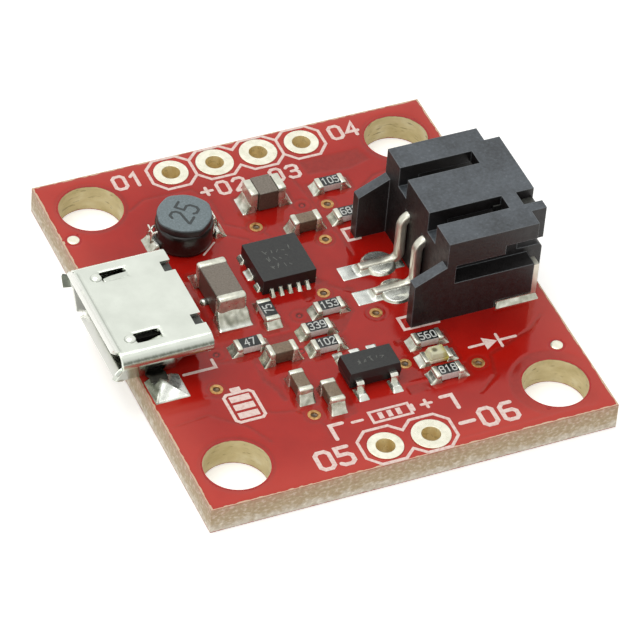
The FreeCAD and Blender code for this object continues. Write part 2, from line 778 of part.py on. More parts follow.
def usb_hull(name, shrink, start, end):
    """The shell's outline, made smaller by shrink on every side."""
    half = f"(sizes.usb_width / 2 - {shrink})"
    bottom_half = f"(sizes.usb_bottom_width / 2 - {shrink})"
    low = f"({seat} + {shrink})"
    knee = f"({seat} + sizes.usb_knee_height)"
    high = f"({seat} + sizes.usb_height - {shrink})"
    upper = make_box(
        f"{name}_upper", start, f"-{half}", knee, f"{end} - {start}", f"2 * {half}", f"{high} - {knee}"
    )
    doc.recompute()
    top = upper.Shape.BoundBox.ZMax
    radius = max(size("usb_corner_radius") - (size("usb_wall") if name == "usb_inner" else 0), 0.06)
    soft = round_edges(
        f"{name}_soft", upper, radius,
        lambda edge: edge.BoundBox.ZMin > top - 1e-6 and edge.BoundBox.YLength < 1e-6,
    )
    lower = trapezoid(f"{name}_lower", "x", start, end, low, knee, bottom_half, half)
    return fuse(name, [soft, lower])


def usb_lip(name, x, y, z, width, rotation):
    """One flared edge of the mouth, hinged on the shell's front."""
    lip = doc.addObject("Part::Box", name)
    bind(lip, Length="sizes.usb_lip_length", Width=width, Height="sizes.usb_wall")
    lip.Placement = FreeCAD.Placement(FreeCAD.Vector(0, 0, 0), rotation)
    return place(lip, x, y, z)


def usb_side_lip(side):
    """The flared edge of a slanted side wall: a bent outline drawn from above, run up the slant."""
    wall = size("usb_wall")
    forward = size("usb_side_lip_length")
    outward = size("usb_side_lip_width")
    outline = [(wall, 0), (0, 0), (-forward, outward), (-forward, outward - wall), (0, -wall), (wall, -wall)]
    corners = [FreeCAD.Vector(x, side * y, 0) for x, y in outline]
    height = size("usb_side_lip_height")
    slant = (size("usb_width") - size("usb_bottom_width")) / 2 / (size("usb_knee_height"))
    face = Part.Face(Part.makePolygon(corners + corners[:1]))
    lip = face.extrude(FreeCAD.Vector(0, side * slant * height, height))
    low = "(sizes.usb_knee_height - sizes.usb_side_lip_height)"
    low_half = (
        "(sizes.usb_bottom_width + (sizes.usb_width - sizes.usb_bottom_width)"
        f" * {low} / sizes.usb_knee_height) / 2"
    )
    name = f"usb_side_lip_{side + 1}"
    return shape_feature(name, lip, usb_front, f"{side} * {low_half}", f"{seat} + {low}")


def make_usb_shell():
    outer = usb_hull("usb_outer", "0", usb_front, usb_rear)
    inner = usb_hull(
        "usb_inner", "sizes.usb_wall", f"({usb_front} - sizes.cut_margin)",
        f"({usb_rear} + sizes.cut_margin)",
    )
    skirt_end = f"({usb_front} + sizes.usb_skirt_length)"
    knee = f"({seat} + sizes.usb_knee_height)"
    skirt_room = make_box(
        "usb_skirt_room", skirt_end, "-sizes.usb_width", "0",
        f"{usb_rear} - {skirt_end} + sizes.cut_margin", "2 * sizes.usb_width", knee,
    )
    rooms = [inner, skirt_room]
    top = f"({seat} + sizes.usb_height)"
    window_x = f"({usb_front} + sizes.usb_window_setback)"
    additions = []
    for side in (-1, 1):
        word = side + 1
        window = centred_box(
            f"usb_window_{word}", f"({window_x} + sizes.usb_window_length / 2)",
            f"({side} * sizes.usb_window_offset)", f"({top} - sizes.usb_wall - sizes.join_overlap)",
            "sizes.usb_window_length", "sizes.usb_window_width", "sizes.usb_wall + 2 * sizes.join_overlap",
        )
        notch = centred_box(
            f"usb_notch_{word}", usb_rear, f"({side} * sizes.usb_notch_offset)",
            f"({top} - sizes.usb_wall - sizes.join_overlap)", "2 * sizes.usb_notch_depth",
            "sizes.usb_notch_width", "sizes.usb_wall + 2 * sizes.join_overlap",
        )
        rooms += [window, notch]
        leaf_y = f"{side} * (sizes.usb_window_offset + (sizes.usb_leaf_width - sizes.usb_window_width) / 2)"
        leaf = centred_box(
            f"usb_leaf_{word}", f"({window_x} + sizes.usb_window_length / 2)", leaf_y,
            f"({top} - sizes.usb_wall - sizes.usb_leaf_depth)",
            "sizes.usb_window_length + sizes.join_overlap", "sizes.usb_leaf_width", "sizes.usb_wall",
        )
        bump = doc.addObject("Part::Ellipsoid", f"usb_bump_{word}")
        bind(bump, Radius1="sizes.usb_bump_height", Radius2="sizes.usb_bump_radius")
        bind(bump, Radius3="sizes.usb_bump_radius")
        place(bump, f"({window_x} - sizes.usb_bump_radius)", f"({side} * sizes.usb_window_offset)", top)
        foot_x = f"({usb_front} + sizes.usb_foot_setback)"
        foot_length = "(sizes.usb_foot_width + sizes.usb_wall)"
        foot_y = f"({side} * (sizes.usb_bottom_width / 2 - sizes.usb_wall + {foot_length} / 2))"
        foot = centred_box(
            f"usb_foot_{word}", f"({foot_x} + sizes.usb_foot_length / 2)", foot_y, seat,
            "sizes.usb_foot_length", foot_length, "sizes.usb_wall",
        )
        additions += [leaf, bump, foot, usb_side_lip(side)]
    lift = FreeCAD.Rotation(FreeCAD.Vector(0, 1, 0), size("usb_lip_angle"))
    half_turn = FreeCAD.Rotation(FreeCAD.Vector(0, 0, 1), 180)
    top_lip = usb_lip(
        "usb_top_lip", usb_front, "sizes.usb_lip_width / 2", f"({top} - sizes.usb_wall)",
        "sizes.usb_lip_width", lift.multiply(half_turn),
    )
    low_lip = usb_lip(
        "usb_low_lip", usb_front, "-sizes.usb_bottom_width / 2", f"({seat} + sizes.usb_wall)",
        "sizes.usb_bottom_width", FreeCAD.Rotation(FreeCAD.Vector(0, 1, 0), 180 - size("usb_low_lip_angle")),
    )
    shell = cut("usb_folded", outer, fuse("usb_rooms", rooms))
    node(fuse("usb_shell_whole", [shell, top_lip, low_lip] + additions), "usb_shell")


def make_usb_inside():
    block_front = f"({usb_rear} - sizes.usb_block_length - sizes.usb_contact_thickness)"
    block_rear = f"({usb_rear} - sizes.usb_contact_thickness)"
    gap = "sizes.usb_block_gap"
    knee = f"({seat} + sizes.usb_knee_height)"
    roof = f"({seat} + sizes.usb_height - sizes.usb_wall - {gap})"
    upper_half = f"(sizes.usb_width / 2 - sizes.usb_wall - sizes.usb_block_side_gap)"
    lower_half = f"(sizes.usb_bottom_width / 2 - sizes.usb_wall - sizes.usb_block_side_gap)"
    floor = f"({seat} + sizes.usb_wall + {gap})"
    block = make_box(
        "usb_block_upper", block_front, f"-{upper_half}", knee, "sizes.usb_block_length",
        f"2 * {upper_half}", f"{roof} - {knee}",
    )
    lower = make_box(
        "usb_block_lower", block_front, f"-{lower_half}", floor, "sizes.usb_block_length",
        f"2 * {lower_half}", f"{knee} - {floor}",
    )
    tongue_front = f"({usb_front} + sizes.usb_tongue_setback)"
    tongue = make_box(
        "usb_tongue", tongue_front, "-sizes.usb_tongue_width / 2", f"({seat} + sizes.usb_tongue_height)",
        f"{block_front} - {tongue_front} + sizes.join_overlap", "sizes.usb_tongue_width",
        "sizes.usb_tongue_thickness",
    )
    channels = []
    contacts = []
    thick = size("usb_contact_thickness")
    blade = size("usb_tongue_height") - thick / 2
    rear = size("usb_length")
    path = [
        (size("usb_tongue_setback") + size("usb_contact_setback"), blade), (rear, blade), (rear, thick / 2),
        (rear + size("usb_contact_foot_length"), thick / 2),
    ]
    radii = [size("usb_contact_bend_radius")] * 2
    for step in range(-2, 3):
        name = f"usb_contact_{step + 3}"
        contact_y = f"({step} * sizes.usb_contact_pitch)"
        channel = centred_box(
            f"{name}_channel", f"({block_front} + sizes.usb_block_length / 2)", contact_y, "0",
            "sizes.usb_block_length + sizes.cut_margin",
            "sizes.usb_contact_width + 2 * sizes.usb_contact_clearance",
            f"{seat} + sizes.usb_tongue_height",
        )
        channels.append(channel)
        strip = bent_strip(path, thick, size("usb_contact_width"), radii)
        contacts.append(shape_feature(name, strip, usb_front, contact_y, seat))
    whole = fuse("usb_block_solid", [block, lower, tongue])
    node(cut("usb_block", whole, fuse("usb_channels", channels)), "usb_insulator")
    node(gather("usb_contact_set", contacts), "usb_contacts")


def make_usb_solder():
    joints = []
    foot_x = f"({usb_front} + sizes.usb_foot_setback + sizes.usb_foot_length / 2)"
    for side in (-1, 1):
        centre_y = f"({side} * (sizes.usb_bottom_width / 2 - sizes.usb_wall + sizes.usb_pad_width / 2))"
        pad = solder_pad(
            f"usb_side_pad_{side + 1}", foot_x, centre_y, "sizes.usb_pad_length", "sizes.usb_pad_width"
        )
        slope = solder_slope(
            f"usb_side_slope_{side + 1}", foot_x,
            f"({side} * (sizes.usb_bottom_width / 2 + sizes.usb_foot_width))", 90 * side,
            size("usb_solder_length"), size("usb_wall"), size("usb_foot_length"),
        )
        joints.append(joint(f"usb_side_joint_{side + 1}", pad, [slope]))
    for step in range(-2, 3):
        name = f"usb_signal_pad_{step + 3}"
        pad_x = f"({usb_rear} + sizes.usb_contact_foot_length / 2 + sizes.usb_contact_thickness)"
        pad = solder_pad(
            name, pad_x, f"({step} * sizes.usb_contact_pitch)", "sizes.usb_contact_foot_length",
            "sizes.usb_contact_width + 2 * sizes.chip_pad_margin",
        )
        joints.append(pad)
    node(gather("usb_joints", joints), "usb_solder")


# Battery socket: a moulded shroud with side ears and rear wings, two bent pins, two metal tabs

def on_board(height):
    return f"(sizes.board_thickness + {height})"


def make_socket():
    shroud = make_box(
        "socket_shroud", socket_rear, "-sizes.shroud_width / 2", top_of_board, "sizes.socket_box_length",
        "sizes.shroud_width", "sizes.socket_height",
    )
    ears = make_box(
        "socket_ears", socket_rear, f"-{socket_span} / 2", top_of_board,
        "sizes.socket_box_length - sizes.ear_setback", socket_span, "sizes.socket_height",
    )
    solids = [shroud, ears]
    for side in (-1, 1):
        wing = doc.addObject("Part::Wedge", f"socket_wing_{side + 1}")
        toe = f"({socket_rear} - sizes.wing_length)"
        low_y = f"({side} * ({socket_span} - sizes.wing_thickness) / 2 - sizes.wing_thickness / 2)"
        bind(wing, Ymin=toe, Ymax=f"{socket_rear} + 2 * sizes.join_overlap")
        bind(wing, Xmin=top_of_board, Xmax=on_board("sizes.wing_toe_height"))
        bind(wing, X2min=top_of_board, X2max=on_board("sizes.wing_root_height"))
        bind(wing, Zmin=low_y, Zmax=f"{low_y} + sizes.wing_thickness")
        bind(wing, Z2min=low_y, Z2max=f"{low_y} + sizes.wing_thickness")
        wing.Placement.Rotation = FreeCAD.Rotation(FreeCAD.Vector(1, 1, 1), 240)
        solids.append(wing)

    cavity_start = f"({socket_mouth} - sizes.cavity_depth)"
    roof = on_board("(sizes.socket_height - sizes.cavity_roof_thickness)")
    rooms = [
        make_box(
            "socket_cavity", cavity_start, "-sizes.cavity_width / 2",
            on_board("sizes.cavity_floor_thickness"), "sizes.cavity_depth + sizes.cut_margin",
            "sizes.cavity_width",
            "sizes.socket_height - sizes.cavity_roof_thickness - sizes.cavity_floor_thickness",
        ),
        make_box(
            "socket_key_notch", f"{socket_mouth} - sizes.key_notch_length",
            "-sizes.slot_offset - sizes.slot_width / 2", f"{roof} - sizes.join_overlap",
            "sizes.key_notch_length + sizes.cut_margin", "sizes.slot_width",
            "sizes.cavity_roof_thickness + sizes.cut_margin",
        ),
        make_box(
            "socket_side_slots", f"{socket_mouth} - sizes.side_slot_length", "-sizes.shroud_width",
            on_board("sizes.side_slot_base_height"), "sizes.side_slot_length + sizes.cut_margin",
            "2 * sizes.shroud_width", "sizes.side_slot_top_height - sizes.side_slot_base_height",
        ),
    ]
    for side in (-1, 1):
        word = side + 1
        rooms.append(centred_box(
            f"socket_slot_{word}", f"({socket_rear} + sizes.slot_length / 2 - sizes.cut_margin / 2)",
            f"({side} * sizes.slot_offset)", on_board("(sizes.socket_height - sizes.slot_depth)"),
            "sizes.slot_length + sizes.cut_margin", "sizes.slot_width",
            "sizes.slot_depth + sizes.cut_margin",
        ))
        rooms.append(centred_box(
            f"socket_pin_hole_{word}", f"({socket_rear} + sizes.socket_box_length / 4)",
            f"({side} * sizes.pin_pitch / 2)",
            on_board("(sizes.pin_height - sizes.pin_width / 2 - sizes.pin_clearance)"),
            "sizes.socket_box_length / 2 + sizes.cut_margin", "sizes.pin_width + 2 * sizes.pin_clearance",
            "sizes.pin_width + 2 * sizes.pin_clearance",
        ))
        pocket_y = f"({side} * ({socket_span} - sizes.ear_width) / 2)"
        for step, start, height in (
            ("long", "sizes.pocket_setback", "sizes.pocket_low_height"),
            ("tall", "sizes.pocket_step_setback", "sizes.pocket_top_height"),
        ):
            length = f"(sizes.socket_box_length - sizes.ear_setback - {start} + sizes.cut_margin)"
            rooms.append(centred_box(
                f"socket_pocket_{step}_{word}", f"({socket_rear} + {start} + {length} / 2)", pocket_y,
                on_board("sizes.pocket_base_height"), length, "sizes.ear_width",
                f"{height} - sizes.pocket_base_height",
            ))
        rooms.append(centred_box(
            f"socket_undercut_{word}",
            f"({ear_front} - sizes.ear_undercut_length / 2 + sizes.cut_margin / 2)",
            f"({side} * ({socket_span} - {undercut_width}) / 2)", top_of_board,
            "sizes.ear_undercut_length + sizes.cut_margin", undercut_width, "sizes.ear_undercut_height",
        ))
    housing = cut("socket_housing", fuse("socket_solid", solids), fuse("socket_rooms", rooms))
    doc.recompute()
    mouth_x = size("board_length") / 2 - size("socket_setback")
    slot_z = size("board_thickness") + size("side_slot_base_height")
    rounded = round_edges(
        "socket_rounded", housing, size("shroud_corner_radius"),
        lambda edge: abs(edge.BoundBox.XMin - mouth_x) < 1e-6 and edge.BoundBox.XLength < 1e-6
        and abs(edge.BoundBox.ZMin - slot_z) < 1e-6 and edge.BoundBox.ZLength < 1e-6,
    )
    node(rounded, "battery_socket_housing")


def make_socket_metal():
    half = size("pin_width") / 2
    film = size("pad_thickness")
    drop = -(size("pin_drop_gap") + size("pin_bend_radius") + half)
    inside = size("socket_box_length") - size("pin_tip_setback")
    pin_path = [
        (inside, size("pin_height")), (drop, size("pin_height")), (drop, film + half),
        (drop - size("pin_foot_length"), film + half),
    ]
    pin_radii = [size("pin_bend_radius"), size("pin_foot_bend_radius")]
    thick = size("tab_thickness")
    upright = size("tab_gap") + thick / 2
    tab_path = [
        (size("tab_foot_gap") - size("ear_undercut_length"), film + thick / 2),
        (upright, film + thick / 2), (upright, size("tab_height")),
    ]
    tab_width = "(sizes.ear_width - sizes.tab_inset - sizes.tab_shroud_gap)"
    tab_span = size("ear_width") - size("tab_inset") - size("tab_shroud_gap")
    tab_edge = f"({socket_span} / 2 - sizes.tab_inset)"
    joints = []
    for side, word in ((-1, "1"), (1, "2")):
        pin_y = f"({side} * sizes.pin_pitch / 2)"
        pin = bent_strip(pin_path, size("pin_width"), size("pin_width"), pin_radii)
        feature = shape_feature(f"socket_pin_{word}", pin, socket_rear, pin_y, top_of_board)
        node(feature, f"battery_pin_{word}")
        pad = make_box(
            f"pin_pad_{word}", pin_pad_end, f"{pin_y} - sizes.pin_pad_width / 2", top_of_board,
            "sizes.pin_pad_length", "sizes.pin_pad_width", "sizes.pad_thickness",
        )
        slopes = []
        for facing in (-1, 1):
            slopes.append(solder_slope(
                f"pin_slope_{word}_{facing + 1}", f"({pin_drop} - sizes.pin_foot_length / 2)",
                f"({pin_y} + {facing} * sizes.pin_width / 2)", 90 * facing,
                (size("pin_pad_width") - size("pin_width")) / 2, size("pin_solder_height"),
                size("pin_foot_length") * size("solder_climb"),
            ))
        joints.append(joint(f"pin_joint_{word}", pad, slopes))

        tab = bent_strip(tab_path, thick, tab_span, [size("tab_bend_radius")])
        tab_y = f"({side} * ({tab_edge} - {tab_width} / 2))"
        node(shape_feature(f"socket_tab_{word}", tab, ear_front, tab_y, top_of_board), f"battery_tab_{word}")
        pad_length = "(sizes.ear_undercut_length + sizes.tab_gap + sizes.tab_thickness + sizes.tab_foot_gap)"
        pad_width = f"({undercut_width} - sizes.tab_foot_gap + sizes.tab_pad_margin)"
        tab_pad = centred_box(
            f"tab_pad_{word}",
            f"({ear_front} - sizes.ear_undercut_length + sizes.tab_foot_gap / 2 + {pad_length} / 2)",
            f"({side} * ({socket_span} / 2 + sizes.tab_pad_margin - {pad_width} / 2))",
            top_of_board, pad_length, pad_width, "sizes.pad_thickness",
        )
        tab_slope = solder_slope(
            f"tab_slope_{word}", f"({ear_front} - sizes.ear_undercut_length / 2)", f"({side} * {tab_edge})",
            90 * side, size("tab_inset") + size("tab_pad_margin"), thick,
            size("ear_undercut_length") * size("solder_share"),
        )
        joints.append(joint(f"tab_joint_{word}", tab_pad, [tab_slope]))
    node(gather("socket_joints", joints), "battery_solder")


make_board()
make_holes()
for chip_row in chip_places:
    make_chip(*chip_row)
make_lamp()
make_inductor()
make_converter()
make_charger()
make_usb_shell()
make_usb_inside()
make_usb_solder()
make_socket()
make_socket_metal()
node(gather("chip_joint_set", chip_solder), "chip_solder")
doc.recompute()

for item in doc.Objects:
    if "Invalid" in item.State or "Error" in item.State:
        raise RuntimeError("failed object: " + item.Name + " " + str(item.State))

os.makedirs("parts", exist_ok=True)
for name in node_names:
    item = doc.getObject(name)
    if item.Shape.isNull() or not item.Shape.isValid():
        raise RuntimeError("bad shape: " + item.Label)
    item.Shape.exportStep("parts/" + item.Label + ".step")
    box = item.Shape.BoundBox
    print(item.Label, len(item.Shape.Solids), round(item.Shape.Volume, 3),
          [round(value, 2) for value in (box.XMin, box.XMax, box.YMin, box.YMax, box.ZMin, box.ZMax)])
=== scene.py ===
import math
import random
from functools import partial

import bmesh
import bpy
import numpy as np
from mathutils import Matrix, Vector


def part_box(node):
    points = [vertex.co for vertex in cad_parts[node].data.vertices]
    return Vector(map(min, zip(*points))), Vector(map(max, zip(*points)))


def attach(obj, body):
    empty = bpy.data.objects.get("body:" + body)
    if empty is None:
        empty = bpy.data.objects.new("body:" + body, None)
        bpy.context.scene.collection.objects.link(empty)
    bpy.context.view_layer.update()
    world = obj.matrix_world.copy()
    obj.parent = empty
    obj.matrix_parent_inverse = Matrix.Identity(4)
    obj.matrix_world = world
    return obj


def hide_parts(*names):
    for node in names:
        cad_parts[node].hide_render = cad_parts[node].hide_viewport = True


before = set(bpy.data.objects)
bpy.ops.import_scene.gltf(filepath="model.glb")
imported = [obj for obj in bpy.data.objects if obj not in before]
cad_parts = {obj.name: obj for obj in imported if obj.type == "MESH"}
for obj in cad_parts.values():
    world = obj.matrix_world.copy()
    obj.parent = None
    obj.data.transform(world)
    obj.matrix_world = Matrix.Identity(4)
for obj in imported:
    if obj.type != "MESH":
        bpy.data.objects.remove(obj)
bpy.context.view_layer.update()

# Battery charger board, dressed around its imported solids. Drawn in millimetres, stored in metres.
# Origin at the centre of the four mounting holes on the underside, +X to the battery socket, +Z up.

metre = 0.001
board = {"halfX": 11.3, "halfY": 12.7, "top": 1.6, "pad": 1.64, "holeX": 8.89, "holeY": 10.16}


def hexColor(code):
    # sRGB hex to linear
    parts = [int(code[i:i + 2], 16) / 255 for i in (0, 2, 4)]
    return tuple(c / 12.92 if c <= 0.04045 else ((c + 0.055) / 1.055) ** 2.4 for c in parts) + (1.0,)


def addNode(tree, kind, inputs, out=0, stops=None, **settings):
    # inputs are sockets, numbers or hex colours; the new node's socket out comes back
    made = tree.nodes.new("ShaderNode" + kind)
    for name, value in settings.items():
        setattr(made, name, value)
    for name, value in inputs.items():
        if isinstance(value, bpy.types.NodeSocket):
            tree.links.new(value, made.inputs[name])
        else:
            made.inputs[name].default_value = hexColor(value) if isinstance(value, str) else value
    if stops:
        line = made.color_ramp.elements
        while len(line) < len(stops):
            line.new(0.5)
        for element, (share, code) in zip(line, stops.items()):
            element.position, element.color = share, hexColor(code)
    return made.outputs[out] if made.outputs else None


def startMaterial(name, roughness, metallic=0.0, fixed=None):
    made = bpy.data.materials.new(name)
    made.use_nodes = True
    tree = made.node_tree
    for socket, value in {"Roughness": roughness, "Metallic": metallic, **(fixed or {})}.items():
        tree.nodes["Principled BSDF"].inputs[socket].default_value = value
    tree.nodes.new("ShaderNodeTexCoord").name = "where"
    return made, tree


def place(tree):
    return tree.nodes["where"].outputs["Object"]


def feed(tree, name, socket):
    tree.links.new(socket, tree.nodes["Principled BSDF"].inputs[name])


def cloud(tree, sizeMm, stretch=(1, 1, 1), detail=2.0, ragged=0.5):
    # soft random spots about sizeMm across
    spread = addNode(tree, "Mapping", {"Vector": place(tree), "Scale": stretch})
    return addNode(tree, "TexNoise", {"Vector": spread, "Scale": 1000 / sizeMm, "Detail": detail,
                                      "Roughness": ragged})


def mottle(tree, sizeMm, stops, detail=3.0, stretch=(1, 1, 1)):
    return addNode(tree, "ValToRGB", {"Fac": cloud(tree, sizeMm, stretch, detail, 0.55)}, stops=stops)


def grain(tree, sizeMm, depthMm, edge=0.0, stretch=(1, 1, 1)):
    # surface relief, with corners rounded by edge millimetres for the light
    relief = {"Height": cloud(tree, sizeMm, stretch), "Strength": 1.0, "Distance": depthMm * metre}
    if edge:
        relief["Normal"] = addNode(tree, "Bevel", {"Radius": edge * metre}, samples=6)
    feed(tree, "Normal", addNode(tree, "Bump", relief))


def roughBy(tree, sizeMm, low, high):
    feed(tree, "Roughness", addNode(tree, "MapRange", {
        "Value": cloud(tree, sizeMm), "From Min": 0.3, "From Max": 0.7, "To Min": low, "To Max": high}))


def facing(tree, low=0.25, high=0.75, both=False):
    # 1 on faces that look up, or also down, and 0 on the sides
    z = addNode(tree, "SeparateXYZ", {0: addNode(tree, "NewGeometry", {}, "True Normal")}, "Z")
    if both:
        z = addNode(tree, "Math", {0: z}, operation="ABSOLUTE")
    return addNode(tree, "MapRange", {"Value": z, "From Min": low, "From Max": high})


def coat(tree, below, share, above):
    # one colour over another: a colour is a hex code, a socket or the spots of a mottle, and share is
    # a number, a socket or the name of a layer painted on the points
    if isinstance(share, str):
        share = addNode(tree, "Attribute", {}, "Fac", attribute_name=share)
    below, above = (mottle(tree, *color) if isinstance(color, tuple) else color for color in (below, above))
    return addNode(tree, "Mix", {0: share, 6: below, 7: above}, 2, data_type="RGBA")


def paintEdgeGlint(tree, tone, radiusMm, code, strength):
    # painted highlight: paler where the surface turns a corner, found where the rounded normal leaves the
    # flat one
    corner = addNode(tree, "Bevel", {"Radius": radiusMm * metre}, samples=6)
    flat = addNode(tree, "NewGeometry", {}, "Normal")
    match = addNode(tree, "VectorMath", {0: corner, 1: flat}, "Value", operation="DOT_PRODUCT")
    edgeGlint = addNode(tree, "MapRange", {"Value": match, "From Min": 1.0, "From Max": 0.8, "To Max": strength})
    return coat(tree, tone, edgeGlint, code)


def finish(name, roughness, metallic, paint, sides=None, split=(), coats=(), edgeGlint=None, gloss=None,
           relief=None, fixed=None):
    # a whole material: paint is the spots of a mottle or a function that gives the colour, sides the
    # spots on faces that don't look up, coats what is laid over, and the corner colour a painted highlight
    made, tree = startMaterial(name, roughness, metallic, fixed)
    tone = mottle(tree, *paint) if isinstance(paint, tuple) else paint(tree)
    if sides:
        tone = coat(tree, sides, facing(tree, *split), tone)
    for share, color in coats:
        tone = coat(tree, tone, share, color)
    if edgeGlint:
        tone = paintEdgeGlint(tree, tone, *edgeGlint)
    feed(tree, "Base Color", tone)
    if gloss:
        roughBy(tree, *gloss)
    if relief:
        grain(tree, *relief)
    return made


def link(name, data):
    made = bpy.data.objects.new(name, data)
    bpy.context.scene.collection.objects.link(made)
    return made


def makePiece(name, store, material, smooth=True, replaced=()):
    mesh = bpy.data.meshes.new(name)
    mesh.from_pydata((np.array(store["points"], float) * metre).tolist(), [], store["faces"])
    mesh.validate()
    mesh.materials.append(material)
    if smooth:
        mesh.shade_smooth()
    piece = link(name, mesh)
    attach(piece, "root")
    if replaced:
        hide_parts(*replaced)
    return piece


def paintPoints(piece, **layers):
    # one number for each point of a mesh, read by its material
    for name, values in layers.items():
        layer = piece.data.attributes.new(name, "FLOAT", "POINT")
        layer.data.foreach_set("value", np.array(values, np.float32))


def evenShade(piece):
    # flat faces stay flat beside their rounded edges
    piece.modifiers.new("evenShade", "WEIGHTED_NORMAL").weight = 90


def thicken(piece, sheetMm):
    sheet = piece.modifiers.new("sheet", "SOLIDIFY")
    sheet.thickness, sheet.offset = sheetMm * metre, 0


def dress(material, *names):
    for name in names:
        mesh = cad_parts[name].data
        mesh.materials.clear()
        mesh.materials.append(material)


def corners(name):
    low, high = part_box(name)
    return np.array(low) / metre, np.array(high) / metre


def path(text):
    # corner points, written as "x,y x,y"
    if not isinstance(text, str):
        return text
    return [tuple(map(float, point.split(","))) for point in text.split()]


# level is the share of full light that each lamp gives a surface that faces it
studio = {
    "fill": 0.58,
    "lamps": [
        {"name": "overheadBox", "place": (-60, 60, 330), "size": 260, "level": 0.42},
        {"name": "frontBox", "place": (-200, -240, 160), "size": 240, "level": 0.16},
    ],
    "floor": (900, {0.3: "f0f0ed", 0.7: "f5f5f2"}), "floorLift": 0.42, "floorHalf": 750, "floorDrop": 0.02,
}
cameraFit = {
    "azimuth": -26.7277, "elevation": 43.2338, "roll": 5.1253,             # degrees
    "distance": 234.913, "target": (-0.7513, -1.8012, board["top"]),       # mm
    "lens": 254.10, "sensor": 36.0,
}


def makeCamera():
    az, el, roll = (math.radians(cameraFit[k]) for k in ("azimuth", "elevation", "roll"))
    back = Vector((math.sin(az) * math.cos(el), -math.cos(az) * math.cos(el), math.sin(el)))
    level = Vector((math.cos(az), math.sin(az), 0))
    upright = back.cross(level)
    right = math.cos(roll) * level + math.sin(roll) * upright
    up = -math.sin(roll) * level + math.cos(roll) * upright
    spot = (Vector(cameraFit["target"]) + back * cameraFit["distance"]) * metre
    data = bpy.data.cameras.new("camera")
    data.lens, data.sensor_width = cameraFit["lens"], cameraFit["sensor"]
    data.clip_start, data.clip_end = 0.01, 10
    camera = link("camera", data)
    camera.matrix_world = Matrix((*zip(right, up, back, spot), (0, 0, 0, 1)))
    bpy.context.scene.camera = camera


def directRays(tree):
    # 1 for rays from the camera, off a gloss or through glass: those see the white room
    rays = tree.nodes.new("ShaderNodeLightPath").outputs
    seen = rays["Is Camera Ray"]
    for kind in ("Is Glossy Ray", "Is Transmission Ray"):
        seen = addNode(tree, "Math", {0: seen, 1: rays[kind]}, operation="MAXIMUM")
    return seen


def makeStudio():
    world = bpy.data.worlds.new("whiteRoom")
    bpy.context.scene.world = world
    world.use_nodes = True
    tree = world.node_tree
    tree.nodes.clear()
    soft, white = (addNode(tree, "Background", {"Color": "ffffff", "Strength": level})
                   for level in (studio["fill"], 1.0))
    room = addNode(tree, "MixShader", {0: directRays(tree), 1: soft, 2: white})
    addNode(tree, "OutputWorld", {"Surface": room})

    for lamp in studio["lamps"]:
        light = bpy.data.lights.new(lamp["name"], "AREA")
        spot = Vector(lamp["place"]) * metre
        light.shape, light.size = "SQUARE", lamp["size"] * metre
        light.energy = lamp["level"] * math.pi ** 2 * spot.length_squared
        holder = link(lamp["name"], light)
        holder.location, holder.rotation_mode = spot, "QUATERNION"
        holder.rotation_quaternion = (-spot).to_track_quat("-Z", "Y")

    # matt white card under the board, lifted towards white where it is looked at
    matt = {"Specular IOR Level": 0.1, "Emission Color": (1, 1, 1, 1)}
    card, tree = startMaterial("whiteCard", 0.7, fixed=matt)
    feed(tree, "Base Color", mottle(tree, *studio["floor"]))
    lift = addNode(tree, "Math", {0: directRays(tree), 1: studio["floorLift"]}, operation="MULTIPLY")
    feed(tree, "Emission Strength", lift)
    half, z = studio["floorHalf"] * metre, -studio["floorDrop"] * metre
    mesh = bpy.data.meshes.new("floor")
    square = [(-half, -half, z), (half, -half, z), (half, half, z), (-half, half, z)]
    mesh.from_pydata(square, [], [(0, 1, 2, 3)])
    mesh.materials.append(card)
    floor = link("floor", mesh)
    bpy.context.scene.view_settings.view_transform = "Standard"


makeCamera()
makeStudio()
print("camera and studio")


mountHoles = [(x, y) for x in (-board["holeX"], board["holeX"]) for y in (-board["holeY"], board["holeY"])]
headerHoles = path("-3.81,11.43,0.95 -1.27,11.43,1.04 1.27,11.43,1.04 3.81,11.43,0.95 "
                   "-1.27,-11.43,0.95 1.27,-11.43,1.04")          # x, y and the ring's radius
openVias = [(x * 0.635, y * 0.635) for x, y in path(
    "-1.8,9.3 5,10 3.1,6 0.35,0 3.5,-3.6 9,-11.8 -12.3,-7.6 -6,-12.9 3.3,-9.9")]
coveredVias = path("-1.65,-1.15 -6.85,-2.45 -2.58,-3.65 1.85,6.7")
fiducials = path("-10.67,8.13 10.16,-7.62")

chipNames = [f"resistor_{i}" for i in range(1, 10)] + [f"capacitor_{i}" for i in range(1, 5)]
chipNames += ["output_capacitor", "input_capacitor", "status_lamp"]
# how far the solder reaches past each end, and how long the end caps are
chipReach = {"output_capacitor": (0.42, 0.46), "input_capacitor": (0.7, 0.5), "status_lamp": (0.32, 0.26)}

maskSkin = {
    "cell": 0.1, "inset": 0.02, "rest": 1.603, "copper": 0.021, "slope": 0.09, "clearance": 0.17,
    "over": (2.2, {0.35: "a3120b", 0.65: "b0180f"}), "bare": (0.25, {0.35: "941a12", 0.65: "9e1f17"}),
    "rimColor": "ca4235", "plugColor": "3c0806", "chips": 0.08, "rimZ": 1.598, "dimple": 0.035,
    "mountOpening": 1.79, "viaOpening": 0.275, "sightOpening": 0.46, "viaRing": 0.45, "viaGap": 0.58,
    # radii: no copper round a mounting hole, usual and by the battery socket, then round a covered via
    "mountGap": 2.0, "wideMountGap": 2.42, "coveredGap": 0.55, "coveredRing": 0.42,
}

